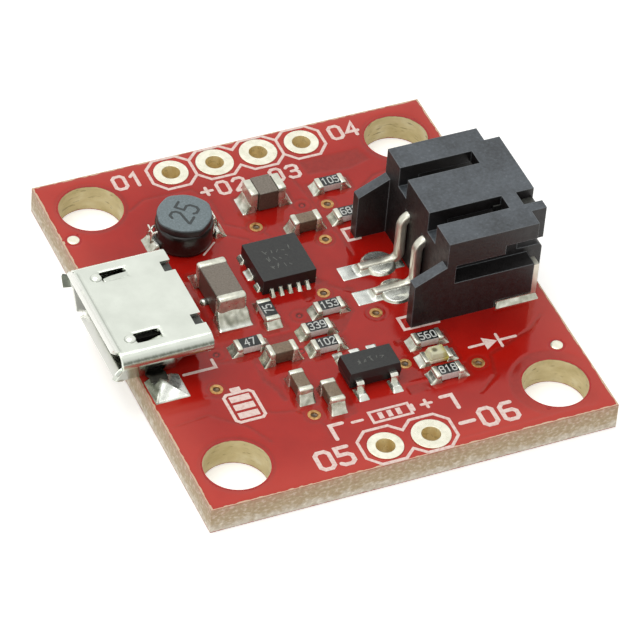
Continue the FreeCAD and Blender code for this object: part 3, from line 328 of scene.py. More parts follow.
# strips and patches with no copper under the lacquer: (width, points) and corner lists
bareRuns = [
    (0.42, "0.15,1.05 0.75,0.6 1.75,-0.25"), (0.34, "1.35,-4.75 2.95,-4.7"),
    (0.30, "-5.1,-3.2 -5.18,-5 -4.8,-6 -4.75,-6.6"),
    (0.14, "-6.6,-6.85 -6.1,-7.05 -5.6,-7.35 -4.5,-7.6 -3.6,-8.9 -3.6,-9.9"),
    (0.13, "-8.5,-5.15 -7.6,-5.6 -7.2,-5.6"), (0.14, "-2.75,6.75 -0.9,5.4 -0.7,5"),
    (0.14, "-3,5.95 -1.9,5.15 -1.7,4.4"), (0.18, "2.2,8.9 2.5,7 2.5,5.6 2.9,3.6 2.85,2.2"),
    (0.16, "-2.6,8.7 -2.6,6.9"), (0.18, "1.2,-12.2 9.6,-12.16"), (0.14, "2.4,-12.48 9.9,-12.46"),
    (0.20, "-7.3,-3 -5.9,-3.25 -5.3,-3.2"), (0.20, "5,-9.5 6.2,-8.6 6.6,-7.1 9.3,-6.1 10.4,-5.2"),
    (0.16, "-10.9,-6.6 -8.9,-6.4 -7.3,-7.8 -6.6,-9.2"), (0.16, "-7,9.3 -6,9.9 -3.3,9.85 -3,9.3"),
    (0.16, "4.9,6.6 6.4,7.7 7.6,7.9"),
]
barePatches = [
    "-4.1,-1.5 -2.45,-1.5 -2.4,-3.1 -2.9,-2.72 -4,-2.7", "-0.1,-1.8 1.2,-1.75 0.2,-2.95 -0.1,-2.95",
    "1.35,-6.75 2.55,-6.8 2.6,-8.45 1.45,-8.5", "-3,-8.5 -2.6,-9 -1.6,-8.75 -1.5,-7.3 -2,-7.2 -2,-8.4",
    "3.05,10 6.5,10 6.8,9 5.4,8.6 3.1,8.9", "-6.45,3 -6.1,3.2 -6.1,-1.2 -6.45,-1.2",
    "-0.9,0.55 0.1,0.6 -0.5,-0.3 -0.9,-0.35",
]
# copper tracks that cross the bare places
tracks = [
    (0.26, "1.2,-7.72 2.75,-7.72"), (0.24, "-4.3,-2.05 -2.2,-2.05"), (0.24, "0.9,0.65 1.45,0.15"),
    (0.26, "-2.9,6.4 -1.3,5.25"), (0.24, "1.9,-12.33 9.8,-12.31"), (0.25, "2.1,-4.2 2.1,-5.2"),
]


def runDistance(px, py, points, closed=False):
    best = np.full(px.shape, 1e9)
    for (ax, ay), (bx, by) in zip(points, points[1:] + (points[:1] if closed else [])):
        dx, dy = bx - ax, by - ay
        share = np.clip(((px - ax) * dx + (py - ay) * dy) / (dx * dx + dy * dy + 1e-12), 0, 1)
        best = np.minimum(best, np.hypot(px - ax - share * dx, py - ay - share * dy))
    return best


def patchDistance(px, py, points):
    # below zero inside the patch
    inside = np.zeros(px.shape, bool)
    for (ax, ay), (bx, by) in zip(points, points[1:] + points[:1]):
        inside ^= ((ay > py) != (by > py)) & (px < (bx - ax) * (py - ay) / (by - ay + 1e-12) + ax)
    return np.where(inside, -1, 1) * runDistance(px, py, points, closed=True)


def past(value, low, high):
    # how far outside a range, below zero inside it
    return np.abs(value - (low + high) / 2) - (high - low) / 2


def boxDistance(px, py, x0, x1, y0, y1, corner=0.0):
    # below zero inside a rectangle with rounded corners
    dx, dy = past(px, x0, x1) + corner, past(py, y0, y1) + corner
    return np.hypot(np.maximum(dx, 0), np.maximum(dy, 0)) + np.minimum(np.maximum(dx, dy), 0) - corner


def smoothStep(value, low, high):
    t = np.clip((value - low) / (high - low), 0, 1)
    return t * t * (3 - 2 * t)


def hump(value, width):
    return np.exp(-(value / width) ** 2)


def chipPads():
    # the two soldered ends of each chip: pad rectangle, end-cap rectangle and its height
    found = []
    for name in chipNames:
        low, high = corners(name + "_terminals")
        reach, cap = chipReach.get(name, (0.32, 0.32))
        spare = 0.15 if name == "input_capacitor" else 0.06
        long = int(high[1] - low[1] > high[0] - low[0])
        for tip, inward in ((low[long], 1), (high[long], -1)):
            pad = [(low[1 - long] - spare, high[1 - long] + spare)] * 2
            end = [(low[1 - long], high[1 - long])] * 2
            pad[long] = sorted((tip - inward * reach, tip + inward * 0.36))
            end[long] = sorted((tip, tip + inward * cap))
            found.append({"name": name, "pad": [*pad[0], *pad[1]], "end": [*end[0], *end[1]],
                          "top": high[2], "reach": reach})
    return found


chipEnds = chipPads()


def makeMaskSkin(material):
    step, inset = maskSkin["cell"], maskSkin["inset"]
    px, py = np.meshgrid(*(np.linspace(inset - half, half - inset, int(round(2 * half / step)) + 1)
                           for half in (board["halfX"], board["halfY"])))

    def gap(x, y):
        return np.hypot(px - x, py - y)

    # copper: everywhere, less the bare places and a gap round each pad, plus the tracks
    free = [boxDistance(px, py, -11.1, 11.1, -12.5, 12.5, 0.3)]
    free += [width / 2 - runDistance(px, py, path(points)) for width, points in bareRuns]
    free += [-patchDistance(px, py, path(points)) for points in barePatches]
    free += [maskSkin["wideMountGap" if x > 0 > y else "mountGap"] - gap(x, y) for x, y in mountHoles]
    free += [maskSkin["clearance"] - boxDistance(px, py, *end["pad"], 0.05) for end in chipEnds]
    free += [maskSkin["viaGap"] - gap(x, y) for x, y in openVias]
    kept = [runDistance(px, py, path(points)) - width / 2 for width, points in tracks]
    kept += [gap(x, y) - maskSkin["viaRing"] for x, y in openVias]
    copper = np.minimum(np.maximum.reduce(free), np.minimum.reduce(kept))
    dimple = dark = np.zeros(px.shape)
    for x, y in coveredVias:
        away = gap(x, y)
        copper = np.minimum(np.maximum(copper, maskSkin["coveredGap"] - away), away - maskSkin["coveredRing"])
        dimple = dimple + maskSkin["dimple"] * (1 - smoothStep(away, 0.05, 0.22))
        dark = np.maximum(dark, 1 - smoothStep(away, 0.12, 0.24))
    share = smoothStep(-copper, -maskSkin["slope"] / 2, maskSkin["slope"] / 2)
    height = maskSkin["rest"] + maskSkin["copper"] * share - dimple
    # thinner and paler towards the rim, where light comes in from the laminate
    toRim = boxDistance(px, py, -board["halfX"], board["halfX"], -board["halfY"], board["halfY"])
    pale = np.clip(0.55 * hump(toRim, 1.7) + 0.1 * smoothStep(-py, 5, 11), 0, 1)
    # lacquer lies a little unevenly
    for size, depth, seed in ((3.1, 0.0014, 1.7), (1.3, 0.0006, 4.2)):
        height += depth * np.sin(px * 2 * math.pi / size + seed + 1.3 * np.sin(py / size * 4.1))
        height += depth * np.cos(py * 2 * math.pi / (size * 1.17) + seed * 2 + 1.1 * np.sin(px / size * 3.7))

    # openings: each circle pulls the nearest points onto itself
    openings = [(x, y, maskSkin["mountOpening"]) for x, y in mountHoles]
    openings += [(x, y, ring + 0.045) for x, y, ring in headerHoles]
    openings += [(x, y, maskSkin["viaOpening"]) for x, y in openVias]
    openings += [(x, y, maskSkin["sightOpening"]) for x, y in fiducials]
    gone = np.zeros(px.shape, bool)
    for x, y, radius in openings:
        away = gap(x, y)
        near = (np.abs(away - radius) < 0.62 * step) & ~gone
        pull = np.where(near, radius / np.maximum(away, 1e-9), 1)
        px, py = x + (px - x) * pull, y + (py - y) * pull
        height = np.where(near, maskSkin["rimZ"], height)
        gone |= (away < radius) & ~near
    # the router chipped the lacquer along the cut
    chance = np.random.default_rng(11)
    whole = slice(None)
    for line, field in (((0, whole), py), ((-1, whole), py), ((whole, 0), px), ((whole, -1), px)):
        height[line] = maskSkin["rimZ"]
        noise = np.convolve(chance.random(field[line].size + 2), [0.3, 0.4, 0.3], "valid")
        field[line] -= np.sign(field[line]) * maskSkin["chips"] * np.clip((noise - 0.38) / 0.3, 0, 1)

    index = np.arange(px.size).reshape(px.shape)
    keep = ~(gone[:-1, :-1] | gone[1:, :-1] | gone[:-1, 1:] | gone[1:, 1:])
    quads = np.stack([index[:-1, :-1], index[:-1, 1:], index[1:, 1:], index[1:, :-1]], -1)[keep]
    used, packed = np.unique(quads, return_inverse=True)
    store = {"points": np.stack([px, py, height], -1).reshape(-1, 3)[used],
             "faces": packed.reshape(quads.shape).tolist()}
    piece = makePiece("maskSkin", store, material)
    paintPoints(piece, copperShare=share.ravel()[used], plugDark=dark.ravel()[used],
                rimPale=pale.ravel()[used])


laminate = {
    "cloth": (0.24, {0.34: "9a8a6f", 0.52: "b9a88b", 0.66: "efe8da"}, 3.0, (1, 1, 1.4)),
    "layers": {0.08: "efe6d8", 0.36: "b9a17e", 0.6: "b09470", 0.95: "b58467"}, "ragged": 0.4,
    "wall": (1.3, {0.3: "cab984", 0.55: "e0d1a2", 0.75: "f0e7c6"}, 4.0, (1, 1, 1.5)), "torn": "8f7b4c",
    "wallReach": 1.9, "lip": "a8463c", "lipFrom": 0.765, "chipped": "d6b99a", "chippedFrom": (11.15, 12.55),
}


def paintLaminate(tree):
    add = partial(addNode, tree)
    at = add("SeparateXYZ", {0: place(tree)}).node.outputs
    # cut bundles about 0.25 mm long in ragged layers, cleaner towards the underside
    ragged = add("MapRange", {"Value": cloud(tree, 0.35, detail=4.0), "To Min": -laminate["ragged"],
                              "To Max": laminate["ragged"]})
    layers = add("MapRange", {"Value": at["Z"], "From Max": board["top"] * metre})
    layers = add("Math", {0: layers, 1: ragged}, operation="ADD")
    layers = add("ValToRGB", {"Fac": layers}, stops=laminate["layers"])
    edge = coat(tree, laminate["cloth"], 0.6, layers)
    torn = cloud(tree, 0.6, (1, 1, 4), 4.0)
    torn = add("MapRange", {"Value": torn, "From Min": 0.6, "From Max": 0.7, "To Max": 0.7})
    wall = coat(tree, laminate["wall"], torn, laminate["torn"])

    # inside a mounting hole: near a hole's axis
    holes = (board["holeX"], board["holeY"])
    fromX, fromY = (add("Math", {0: add("Math", {0: at[axis]}, operation="ABSOLUTE"), 1: centre * metre},
                        operation="SUBTRACT") for axis, centre in zip("XY", holes))
    away = add("VectorMath", {0: add("CombineXYZ", {0: fromX, 1: fromY})}, "Value", operation="LENGTH")
    drilled = add("Math", {0: away, 1: laminate["wallReach"] * metre}, operation="LESS_THAN")
    side = coat(tree, edge, drilled, wall)

    # the lacquer's own edge, 0.03 mm at the top and the bottom
    middle = add("Math", {0: at["Z"], 1: board["top"] / 2 * metre}, operation="SUBTRACT")
    middle = add("Math", {0: middle}, operation="ABSOLUTE")
    middle = add("Math", {0: ragged, 1: 0.14 * metre, 2: middle}, operation="MULTIPLY_ADD")
    lip = add("Math", {0: middle, 1: laminate["lipFrom"] * metre}, operation="GREATER_THAN")
    side = coat(tree, side, lip, laminate["lip"])
    # bare cloth where the lacquer is chipped off the rim
    chipped = [add("Math", {0: off, 1: (limit - centre) * metre}, operation="GREATER_THAN")
               for off, limit, centre in zip((fromX, fromY), laminate["chippedFrom"], holes)]
    chipped = add("Math", {0: chipped[0], 1: chipped[1]}, operation="MAXIMUM")
    red = coat(tree, maskSkin["over"], chipped, laminate["chipped"])
    flat = facing(tree, 0.499, 0.501, True)
    feed(tree, "Roughness", add("MapRange", {"Value": flat, "To Min": 0.55, "To Max": 0.12}))
    return coat(tree, side, flat, red)


# Glossy red epoxy lacquer, screen printed and cured: deep red over copper, duller over bare laminate,
# with a clear white sheen where it mirrors the room
makeMaskSkin(finish(
    "solderMaskLacquer", 0.11, 0.0, maskSkin["bare"], relief=(0.5, 0.0012),
    coats=[("copperShare", maskSkin["over"]), ("rimPale", maskSkin["rimColor"]),
           ("plugDark", maskSkin["plugColor"])],
    fixed={"IOR": 1.47, "Specular Tint": (1.0, 0.96, 0.88, 1.0)}))
# Glass cloth and epoxy, routed at the edge: tan with pale glass bundles lying in flat layers, a red lip of
# lacquer above and below, and drilled walls with a yellow, slightly shiny cast
dress(finish("glassLaminate", 0.55, 0.0, paintLaminate, relief=(0.3, 0.014, 0.0, (1, 1, 4))), "circuit_board")
print("board and solder mask")


# plain numerals and signs in a box 62 wide and 100 high; a stroke that ends where it starts is closed
strokes = {
    "0": ["15,0 47,0 62,15 62,85 47,100 15,100 0,85 0,15 15,0"],
    "1": ["10,80 33,100 33,0"],
    "2": ["0,85 15,100 47,100 62,86 62,66 0,6 2,0 62,0"],
    "3": ["0,88 14,100 48,100 62,87 62,65 48,53 24,53", "48,53 62,40 62,14 48,0 14,0 0,12"],
    "4": ["47,0 47,100 0,32 62,32"],
    "5": ["58,100 5,100 5,58 46,58 62,45 62,15 46,0 14,0 0,10"],
    "6": ["55,100 18,100 0,82 0,14 14,0 48,0 62,14 62,42 48,55 0,55"],
    "7": ["0,100 62,100 22,0"],
    "8": ["14,53 0,66 0,87 14,100 48,100 62,87 62,66 48,53 14,53",
          "14,53 0,40 0,14 14,0 48,0 62,14 62,40 48,53 14,53"],
    "9": ["7,0 44,0 62,18 62,86 48,100 14,100 0,86 0,58 14,45 62,45"],
    "+": ["31,20 31,80", "0,50 62,50"],
    "-": ["0,50 62,50"],
}


def newStore(low=0.0, top=0.0):
    # points and faces of a piece; low and top are the heights of ink
    return {"points": [], "faces": [], "low": low, "top": top}


def loft(store, rows, around=True, loop=False, caps=()):
    # faces between rows of points: around closes each row, loop joins the last row to the first, and
    # caps names the rows that are filled
    base, count, total = len(store["points"]), len(rows[0]), len(rows)
    store["points"] += [tuple(point) for row in rows for point in row]
    for i in range(total if loop else total - 1):
        here, there = base + i * count, base + (i + 1) % total * count
        for k in range(count if around else count - 1):
            n = (k + 1) % count
            store["faces"].append((here + k, here + n, there + n, there + k))
    if -1 in caps:
        store["faces"].append(tuple(base + (total - 1) * count + k for k in range(count)))
    if 0 in caps:
        store["faces"].append(tuple(base + k for k in reversed(range(count))))


def ribbon(store, points, width):
    # a flat line of ink with mitred corners and rounded ends; it climbs a hair along its length, so
    # that crossings stay clean
    low, top = store["low"], store["top"] + 0.0007 * (len(store["points"]) // 4 % 7)
    line = [np.array(p, float) for p in path(points)]
    closed = bool(np.all(line[0] == line[-1]))
    line = line[:-1] if closed else line
    count = len(line)
    runs = [(b - a) / np.linalg.norm(b - a) for a, b in zip(line, line[1:] + line[:1])]
    rings = []
    for i, p in enumerate(line):
        near = [runs[j] for j, there in ((i - 1, i > 0 or closed), (i, i < count - 1 or closed)) if there]
        normals = [np.array((-run[1], run[0])) for run in near]
        middle = sum(normals)
        middle = middle / max(np.linalg.norm(middle), 1e-6)
        reach = middle * width / 2 / max(float(middle @ normals[0]), 0.45)
        rings.append((p + reach, p - reach))
    if not closed:
        for tip, run, sign in ((line[0], runs[0], -1), (line[-1], runs[-2], 1)):
            run = run * width / 2
            cross, cap = np.array((-run[1], run[0])), []
            for turn in map(math.radians, (30, 60, 80)):
                centre, spread = tip + run * sign * math.sin(turn), cross * math.cos(turn)
                cap.append((centre + spread, centre - spread))
            rings = cap[::-1] + rings if sign < 0 else rings + cap
    rows = []
    for a, b in rings:
        top += 0.0004
        rows.append([(*a, low), (*a, top), (*b, top), (*b, low)])
    loft(store, rows, loop=closed, caps=() if closed else (0, -1))


def slab(store, points):
    # a filled flat shape, corners given anticlockwise
    loft(store, [[(*p, store[level]) for p in path(points)] for level in ("low", "top")], caps=(0, -1))


def rectangle(x0, y0, x1, y1):
    return [(x0, y0), (x1, y0), (x1, y1), (x0, y1)]


def write(store, text, x, y, height, line, turn=0, spacing=0.92, wide=1.0):
    # numerals from their lower left corner, turned by so many degrees
    c, s = math.cos(math.radians(turn)), math.sin(math.radians(turn))
    for number, letter in enumerate(text):
        for stroke in strokes[letter]:
            moved = [((u / 100 + number * spacing) * height * wide, v / 100 * height)
                     for u, v in path(stroke)]
            ribbon(store, [(x + u * c - v * s, y + u * s + v * c) for u, v in moved], line)


legend = {
    "low": 1.6, "top": 1.636, "ink": (0.16, {0.3: "dfbab0", 0.55: "eed8ce"}),
    # (width, line): eight-sided frames round the solder holes, then corner marks of the charging part,
    # the battery socket, the charging socket and the inductor
    "frames": [
        (0.165, "-5.03,10.88 -4.43,10.2 -3.15,10.2 -2.54,10.82 -1.92,10.2 -0.6,10.2 0,10.78 0.6,10.2 "
                "1.92,10.2 2.54,10.82 3.15,10.2 4.43,10.2 5.03,10.88 5.03,12 4.45,12.58 3.15,12.58 "
                "2.54,12.02 1.92,12.58 0.6,12.58 0,12.05 -0.6,12.58 -1.92,12.58 -2.54,12.02 -3.15,12.58 "
                "-4.45,12.58 -5.03,12 -5.03,10.88"),
        (0.165, "-2.55,-10.75 -2.55,-11.97 -1.93,-12.6 -0.6,-12.6 0,-12.08 0.6,-12.6 1.93,-12.6 2.55,-11.97 "
                "2.55,-10.75 1.93,-10.15 0.6,-10.15 0,-10.7 -0.6,-10.15 -1.93,-10.15 -2.55,-10.75"),
        (0.165, "-2.54,10.86 -2.54,11.98"), (0.165, "2.54,10.86 2.54,11.98"),
        (0.22, "-3.4,-10.2 -3.4,-9.2 -2.72,-9.2"), (0.22, "2.8,-9.17 3.4,-9.17 3.4,-10.15"),
        (0.17, "3.95,4.2 3.1,4.2 3.1,3.3 3.75,3.3"), (0.17, "3.75,-3.08 3.12,-3.08 3.12,-3.97 5.05,-4"),
        (0.17, "-9,-3.3 -7.22,-3.3 -7.22,-2.72"), (0.1, "-4.6,4.78 -3.72,5.5"),
    ],
    # pin numbers and polarity: x, y, height, width of line, turn, spacing
    "pins": {
        "01": (-7.02, 11.02, 1.0, 0.2), "+02": (-2.85, 8.9, 0.95, 0.19, 0, 1.0),
        "-03": (0.25, 8.9, 0.95, 0.19, 0, 1.0), "04": (5.58, 11.04, 1.0, 0.2),
        "05": (-4.98, -12.0, 1.2, 0.24), "-06": (3.0, -11.85, 1.2, 0.24, 0, 0.98),
    },
}


def makeLegend():
    # Epoxy legend ink, screen printed over the lacquer: opaque, chalky white, a little pink at thin places
    ink = finish("legendInk", 0.5, 0.0, legend["ink"], relief=(0.12, 0.004),
                 fixed={"Specular IOR Level": 0.3})
    store = newStore(legend["low"], legend["top"])
    for width, points in legend["frames"]:
        ribbon(store, points, width)
    for text, layout in legend["pins"].items():
        write(store, text, *layout)
    # a small cell between a minus and a plus sign
    ribbon(store, "-1.15,-9.75 1,-9.75 1,-8.98 -1.15,-8.98 -1.15,-9.75", 0.15)
    ribbon(store, "1.16,-9.55 1.16,-9.18", 0.17)
    for x in (-0.75, -0.25, 0.25):
        slab(store, rectangle(x, -9.6, x + 0.26, -9.13))
    write(store, "-", -2.2, -9.8, 0.9, 0.17)
    write(store, "+", 1.65, -9.8, 0.9, 0.17)
    # a diode beside the lamp
    ribbon(store, "5.75,-6.3 6.55,-6.3", 0.16)
    slab(store, "6.6,-6.75 7.35,-6.3 6.6,-5.85")
    ribbon(store, "7.45,-6.75 7.45,-5.85", 0.16)
    ribbon(store, "7.55,-6.3 8.4,-6.3", 0.16)
    # an upright cell, filled
    ribbon(store, "-7.54,-7.45 -6.3,-7.45 -6.12,-7.27 -6.12,-5.58 -6.3,-5.4 -7.54,-5.4 -7.72,-5.58 "
                  "-7.72,-7.27 -7.54,-7.45", 0.17)
    slab(store, rectangle(-7.2, -5.3, -6.64, -5.0))
    for y in (-7.22, -6.62, -6.02):
        slab(store, rectangle(-7.48, y, -6.36, y + 0.42))
    makePiece("printedLegend", store, ink, smooth=False)


makeLegend()
print("printed legend")


def lathe(store, centre, profile, around=64, swell=lambda turn, z: 1, caps=(0, -1)):
    # a turned shape from (radius, z) pairs; swell(turn, z) stretches the radius
    turns = [2 * math.pi * k / around for k in range(around)]
    loft(store, [[(centre[0] + radius * swell(turn, z) * math.cos(turn),
                   centre[1] + radius * swell(turn, z) * math.sin(turn), z) for turn in turns]
                 for radius, z in profile], caps=caps)


def makeHoles():
    # Copper under hot-levelled tin: creamy silver on the rings, thin and brassy down the barrels
    flat = (0.499, 0.501, True)
    tin = finish("levelledTin", 0.3, 1.0, (0.35, {0.3: "e8e6d0", 0.6: "f8f5e2"}), split=flat,
                 sides=(0.5, {0.3: "dcc283", 0.6: "f2e0ab"}, 3.0, (1, 1, 0.4)), gloss=(0.3, 0.22, 0.4),
                 relief=(0.3, 0.004, 0.04))
    feed(tin.node_tree, "Metallic", addNode(tin.node_tree, "MapRange", {
        "Value": facing(tin.node_tree, *flat), "To Min": 0.15, "To Max": 0.9}))
    dress(tin, *(f"header_hole_{i}" for i in (1, 2, 3, 4)), "supply_hole_1", "supply_hole_2")
    # Thinly tinned vias, where the copper shows through: brassy orange
    via = finish("brassyVia", 0.35, 0.8, (0.2, {0.3: "a06a38", 0.6: "d2a76c"}), relief=(0.15, 0.004, 0.05))
    dress(via, "via_linings")

    # Resin that ran into the vias: olive brown, glossy, a little below the rings
    resin = finish("olivePlug", 0.25, 0.0, (0.2, {0.3: "3a2a12", 0.7: "7d5b2c"}))
    store = newStore()
    for spot in openVias:
        lathe(store, spot, path("0.2,1.55 0.14,1.52 0.07,1.505"), 24, caps=(-1,))
    makePiece("viaPlugs", store, resin)
    # round bare pads: a low dome each
    store = newStore()
    for spot in fiducials:
        lathe(store, spot, path("0.33,1.6 0.33,1.628 0.29,1.639 0.15,1.6425"), 32, caps=(-1,))
    makePiece("sightMarks", store, tin)


makeHoles()
print("holes and sight marks")


# Tin solder, melted in an oven: bright, smooth hollow slopes with a few frosted patches; the slopes are
# painted darker than the flat tops, and a painted layer darkens some of them further: painted shade
solderTin = finish("reflowedTin", 0.2, 0.85, (0.5, {0.3: "cfd3cc", 0.55: "e2e5de", 0.7: "eef1ea"}, 1.0),
                   sides=(0.4, {0.3: "9a9a89", 0.55: "c2c2b2", 0.7: "dedecf"}, 1.0), split=(0.72, 0.99),
                   coats=[("stain", "6d6f60")], gloss=(0.35, 0.16, 0.34), relief=(0.4, 0.006))
solder = {
    "under": 1.594, "film": 0.046,
    "pinLand": (3.86, 1.12, 0.98),       # round land that shares each battery pin's pad: x, y and radius
    "bead": (-5.98, 1.38, 0.24), "beadHeight": 0.2, "converterPitch": 0.5, "chargerPitch": 0.95,
    # the converter's long pads: place along the side, half length and reach past the body
    "longPads": ((-0.92, 0.31, 0.24), (0.14, 0.43, 0.36), (1.35, 0.35, 0.24)),
}


def hillField(store, pad, height, seed=0.0, cell=0.05, soft=0.075):
    # a patch of solder over a pad: height(px, py) is the solder above the tinned copper
    px, py = np.meshgrid(*(np.linspace(a, b, max(int(round((b - a) / cell)), 4) + 1)
                           for a, b in (pad[:2], pad[2:])))
    wobble = 1 + 0.06 * np.sin(px * 6.1 + seed) * np.cos(py * 5.3 + seed * 1.7)
    rise = smoothStep(-boxDistance(px, py, *pad, 0.09), -0.01, soft)
    z = solder["under"] + (solder["film"] + height(px, py) * wobble) * rise
    loft(store, np.stack([px, py, z], -1).tolist(), around=False)


def domeField(store, x, y, radius, height, rings=14, around=48):
    # a round patch of solder: height(px, py, share of the radius) above the tinned copper
    rows, turn = [], np.arange(around) * 2 * math.pi / around
    for ring in range(rings + 1):
        share = 1 - (ring / rings) ** 1.5
        px, py = x + radius * share * np.cos(turn), y + radius * share * np.sin(turn)
        z = solder["under"] + (solder["film"] + height(px, py, share)) * min(1, ring * 0.9)
        rows.append(np.stack([px, py, z * np.ones(around)], -1).tolist())
    loft(store, rows)


def slope(box, rise, reach, power=2.1):
    # hollow slope that climbs to a box: x0, x1, y0, y1
    return lambda px, py: rise * np.clip(1 - np.maximum(boxDistance(px, py, *box), 0) / reach, 0, 1) ** power


def across(edge, side, inner, outer):
    # from inner mm inside an edge to outer mm outside it
    return sorted((edge - side * inner, edge + side * outer))


def makeChipSolder():
    store, dice = newStore(), random.Random(7)
    for end in chipEnds:
        tall, reach = end["top"] - board["pad"], end["reach"]
        inner = [value + shift for value, shift in zip(end["end"], (0.03, -0.03, 0.03, -0.03))]
        if end["name"] in ("input_capacitor", "output_capacitor"):
            hillField(store, end["pad"], slope(inner, tall * 0.46, reach * 0.95, 1.5), 1.2)
        else:
            rise = tall * dice.uniform(0.66, 0.84)
            hillField(store, end["pad"], slope(inner, rise, reach * 1.1, 1.5), dice.uniform(0, 6))

    # converter: terminals at 0.5 mm pitch on two sides, and the long pads under its other two
    low, high = corners("converter_chip_body")
    midX, midY, _ = (low + high) / 2
    for side, edge in ((-1, low[1]), (1, high[1])):
        for x in midX + solder["converterPitch"] * np.arange(-2, 3):
            box = (x - 0.1, x + 0.1, *across(edge, side, 0.2, 0.05))
            pad = (x - 0.15, x + 0.15, *across(edge, side, 0.1, 0.4))
            hillField(store, pad, slope(box, 0.3, 0.36, 1.2), dice.uniform(0, 6), 0.03)
    for side, edge in ((-1, low[0]), (1, high[0])):
        for offset, half, reach in solder["longPads"]:
            y = midY + offset
            box = (*across(edge, side, 0.3, 0.02), y - half + 0.1, y + half - 0.1)
            pad = (*across(edge, side, 0.1, reach), y - half, y + half)
            hillField(store, pad, slope(box, 0.2, 0.3, 1.6), dice.uniform(0, 6), 0.04)

    # charger: five bent leads
    low, high = corners("charger_chip_leads")
    for side, edge, steps, reach in ((-1, low[1], (-1, 1), 0.32), (1, high[1], (-1, 0, 1), 0.6)):
        for x in solder["chargerPitch"] * np.array(steps):
            box = (x - 0.17, x + 0.17, *across(edge, side, 0.44, -0.02))
            pad = (x - 0.32, x + 0.32, *across(edge, side, 0.74, reach))
            hillField(store, pad, slope(box, 0.16, 0.32, 1.5), dice.uniform(0, 6))

    # inductor: one pad at each clip
    low, high = corners("inductor_terminals")
    for side, edge in ((-1, low[0]), (1, high[0])):
        box = (*across(edge, side, 0.3, -0.02), low[1] + 0.08, high[1] - 0.08)
        pad = (*across(edge, side, 0.3, 0.42), low[1], high[1])
        hillField(store, pad, slope(box, 0.42, 0.42, 1.4), dice.uniform(0, 6))
    # a stray bead
    domeField(store, *solder["bead"], lambda px, py, share: (
        solder["beadHeight"] * math.sqrt(max(1 - share ** 2, 0))), 10, 28)
    piece = makePiece("chipSolder", store, solderTin, replaced=("chip_solder",))
    # painted shade: darker in the hollow before the input capacitor
    near = next(end["end"] for end in chipEnds if end["name"] == "input_capacitor")
    px, py = np.array(store["points"])[:, :2].T
    u, v = px - (near[0] + near[1]) / 2 + 0.15, py - near[2] + 0.32
    hollow = hump((u / 0.75) ** 2 + ((v + 0.08 * np.sin(px * 7)) / 0.2) ** 2, 1)
    paintPoints(piece, stain=hollow * (0.5 + 0.3 * np.sin(px * 13 + py * 5)))


def makeUsbSolder():
    store = newStore()
    for side in (-1, 1):
        def peak(px, py, side=side):
            # four straight slopes that meet where the foot ends
            out = side * py
            faces = [(px + 11.15) * 0.62, (-9.18 - px) * 0.36, (4.88 - out) * 0.34, (out - 2.9) * 0.8]
            return np.clip(np.minimum.reduce(faces), 0, 0.5)
        hillField(store, (-11.13, -9.2, *across(0, side, -3.08, 4.86)), peak, 2.0 + side, 0.045, 0.05)
    for step in range(-2, 3):
        y = 0.65 * step
        toe = slope((-7.5, -6.7, y - 0.1, y + 0.1), 0.07, 0.2)
        hillField(store, (-7.5, -6.48, y - 0.18, y + 0.18), toe, step)
    piece = makePiece("usbSolder", store, solderTin, replaced=("usb_solder",))
    # painted shade on the slope that faces the board's edge
    px, py = np.array(store["points"])[:, :2].T
    stain = smoothStep(-10.36 - 0.55 * (np.abs(py) - 3.7) - px, -0.04, 0.04) * (px < -8)
    paintPoints(piece, stain=stain * (0.6 + 0.2 * np.sin(py * 4 + px * 17)))


def makeSocketSolder():
    store = newStore()
    x, y, radius = solder["pinLand"]
    for side in (-1, 1):
        foot = (2.66, 4.9, *across(0, side, -0.76, 1.24))

        def meniscus(px, py, share, foot=foot):
            rim = 0.1 * smoothStep(1 - share, 0.0, 0.14)
            return rim + slope(foot, 0.2, 0.55, 2)(px, py) * smoothStep(1 - share, 0, 0.2)
        domeField(store, x, y * side, radius, meniscus, 20, 56)
        pad = (1.56, 5.18, *across(0, side, -0.45, 1.55))
        hillField(store, pad, slope(foot, 0.17, 0.24, 1.4), 1.0 + side, soft=0.05)
    for side in (-1, 1):
        tab = (8.5, 10.6, *across(0, side, -3.3, 3.86))
        pad = (8.28, 10.79, *across(0, side, -3.25, 4.13))
        hillField(store, pad, slope(tab, 0.28, 0.34, 1.5), 3.0 + side)
    makePiece("socketSolder", store, solderTin, replaced=("battery_solder",))


makeChipSolder()
makeUsbSolder()
makeSocketSolder()
print("solder")


def roundedBox(store, low, high, radius, segments=2, taper=(1, 1)):
    # a block with rounded edges; taper narrows its top along x and y
    block = bmesh.new()
    bmesh.ops.create_cube(block, size=1)
    low, high = np.array(low, float), np.array(high, float)
    for corner in block.verts:
        share = np.array((*taper, 1) if corner.co.z > 0 else (1, 1, 1))
        corner.co = (low + high) / 2 + np.array(corner.co) * (high - low) * share
    bmesh.ops.bevel(block, geom=list(block.edges), offset=radius, segments=segments, profile=0.5,
                    affect="EDGES", clamp_overlap=True)
    base = len(store["points"])
    block.verts.index_update()
    store["points"] += [tuple(corner.co) for corner in block.verts]
    store["faces"] += [tuple(base + corner.index for corner in face.verts) for face in block.faces]
    block.free()


# Tin-plated end caps: satin silver, a little frosted from the oven
endCap = finish("tinnedEndCap", 0.28, 0.85, (0.4, {0.3: "c2c2b4", 0.6: "dedece"}), gloss=(0.3, 0.22, 0.42),
                relief=(0.3, 0.006))
chipShape = {
    "endRound": 0.075, "largeRound": 0.15, "seat": 0.01,
    # overlap with the end caps, how far the sides stand in, and the rounding of the edges
    "overlap": 0.1, "inset": 0.018,
    "bodyRound": {"resistor": 0.02, "input_capacitor": 0.11}, "usualRound": 0.05,
}


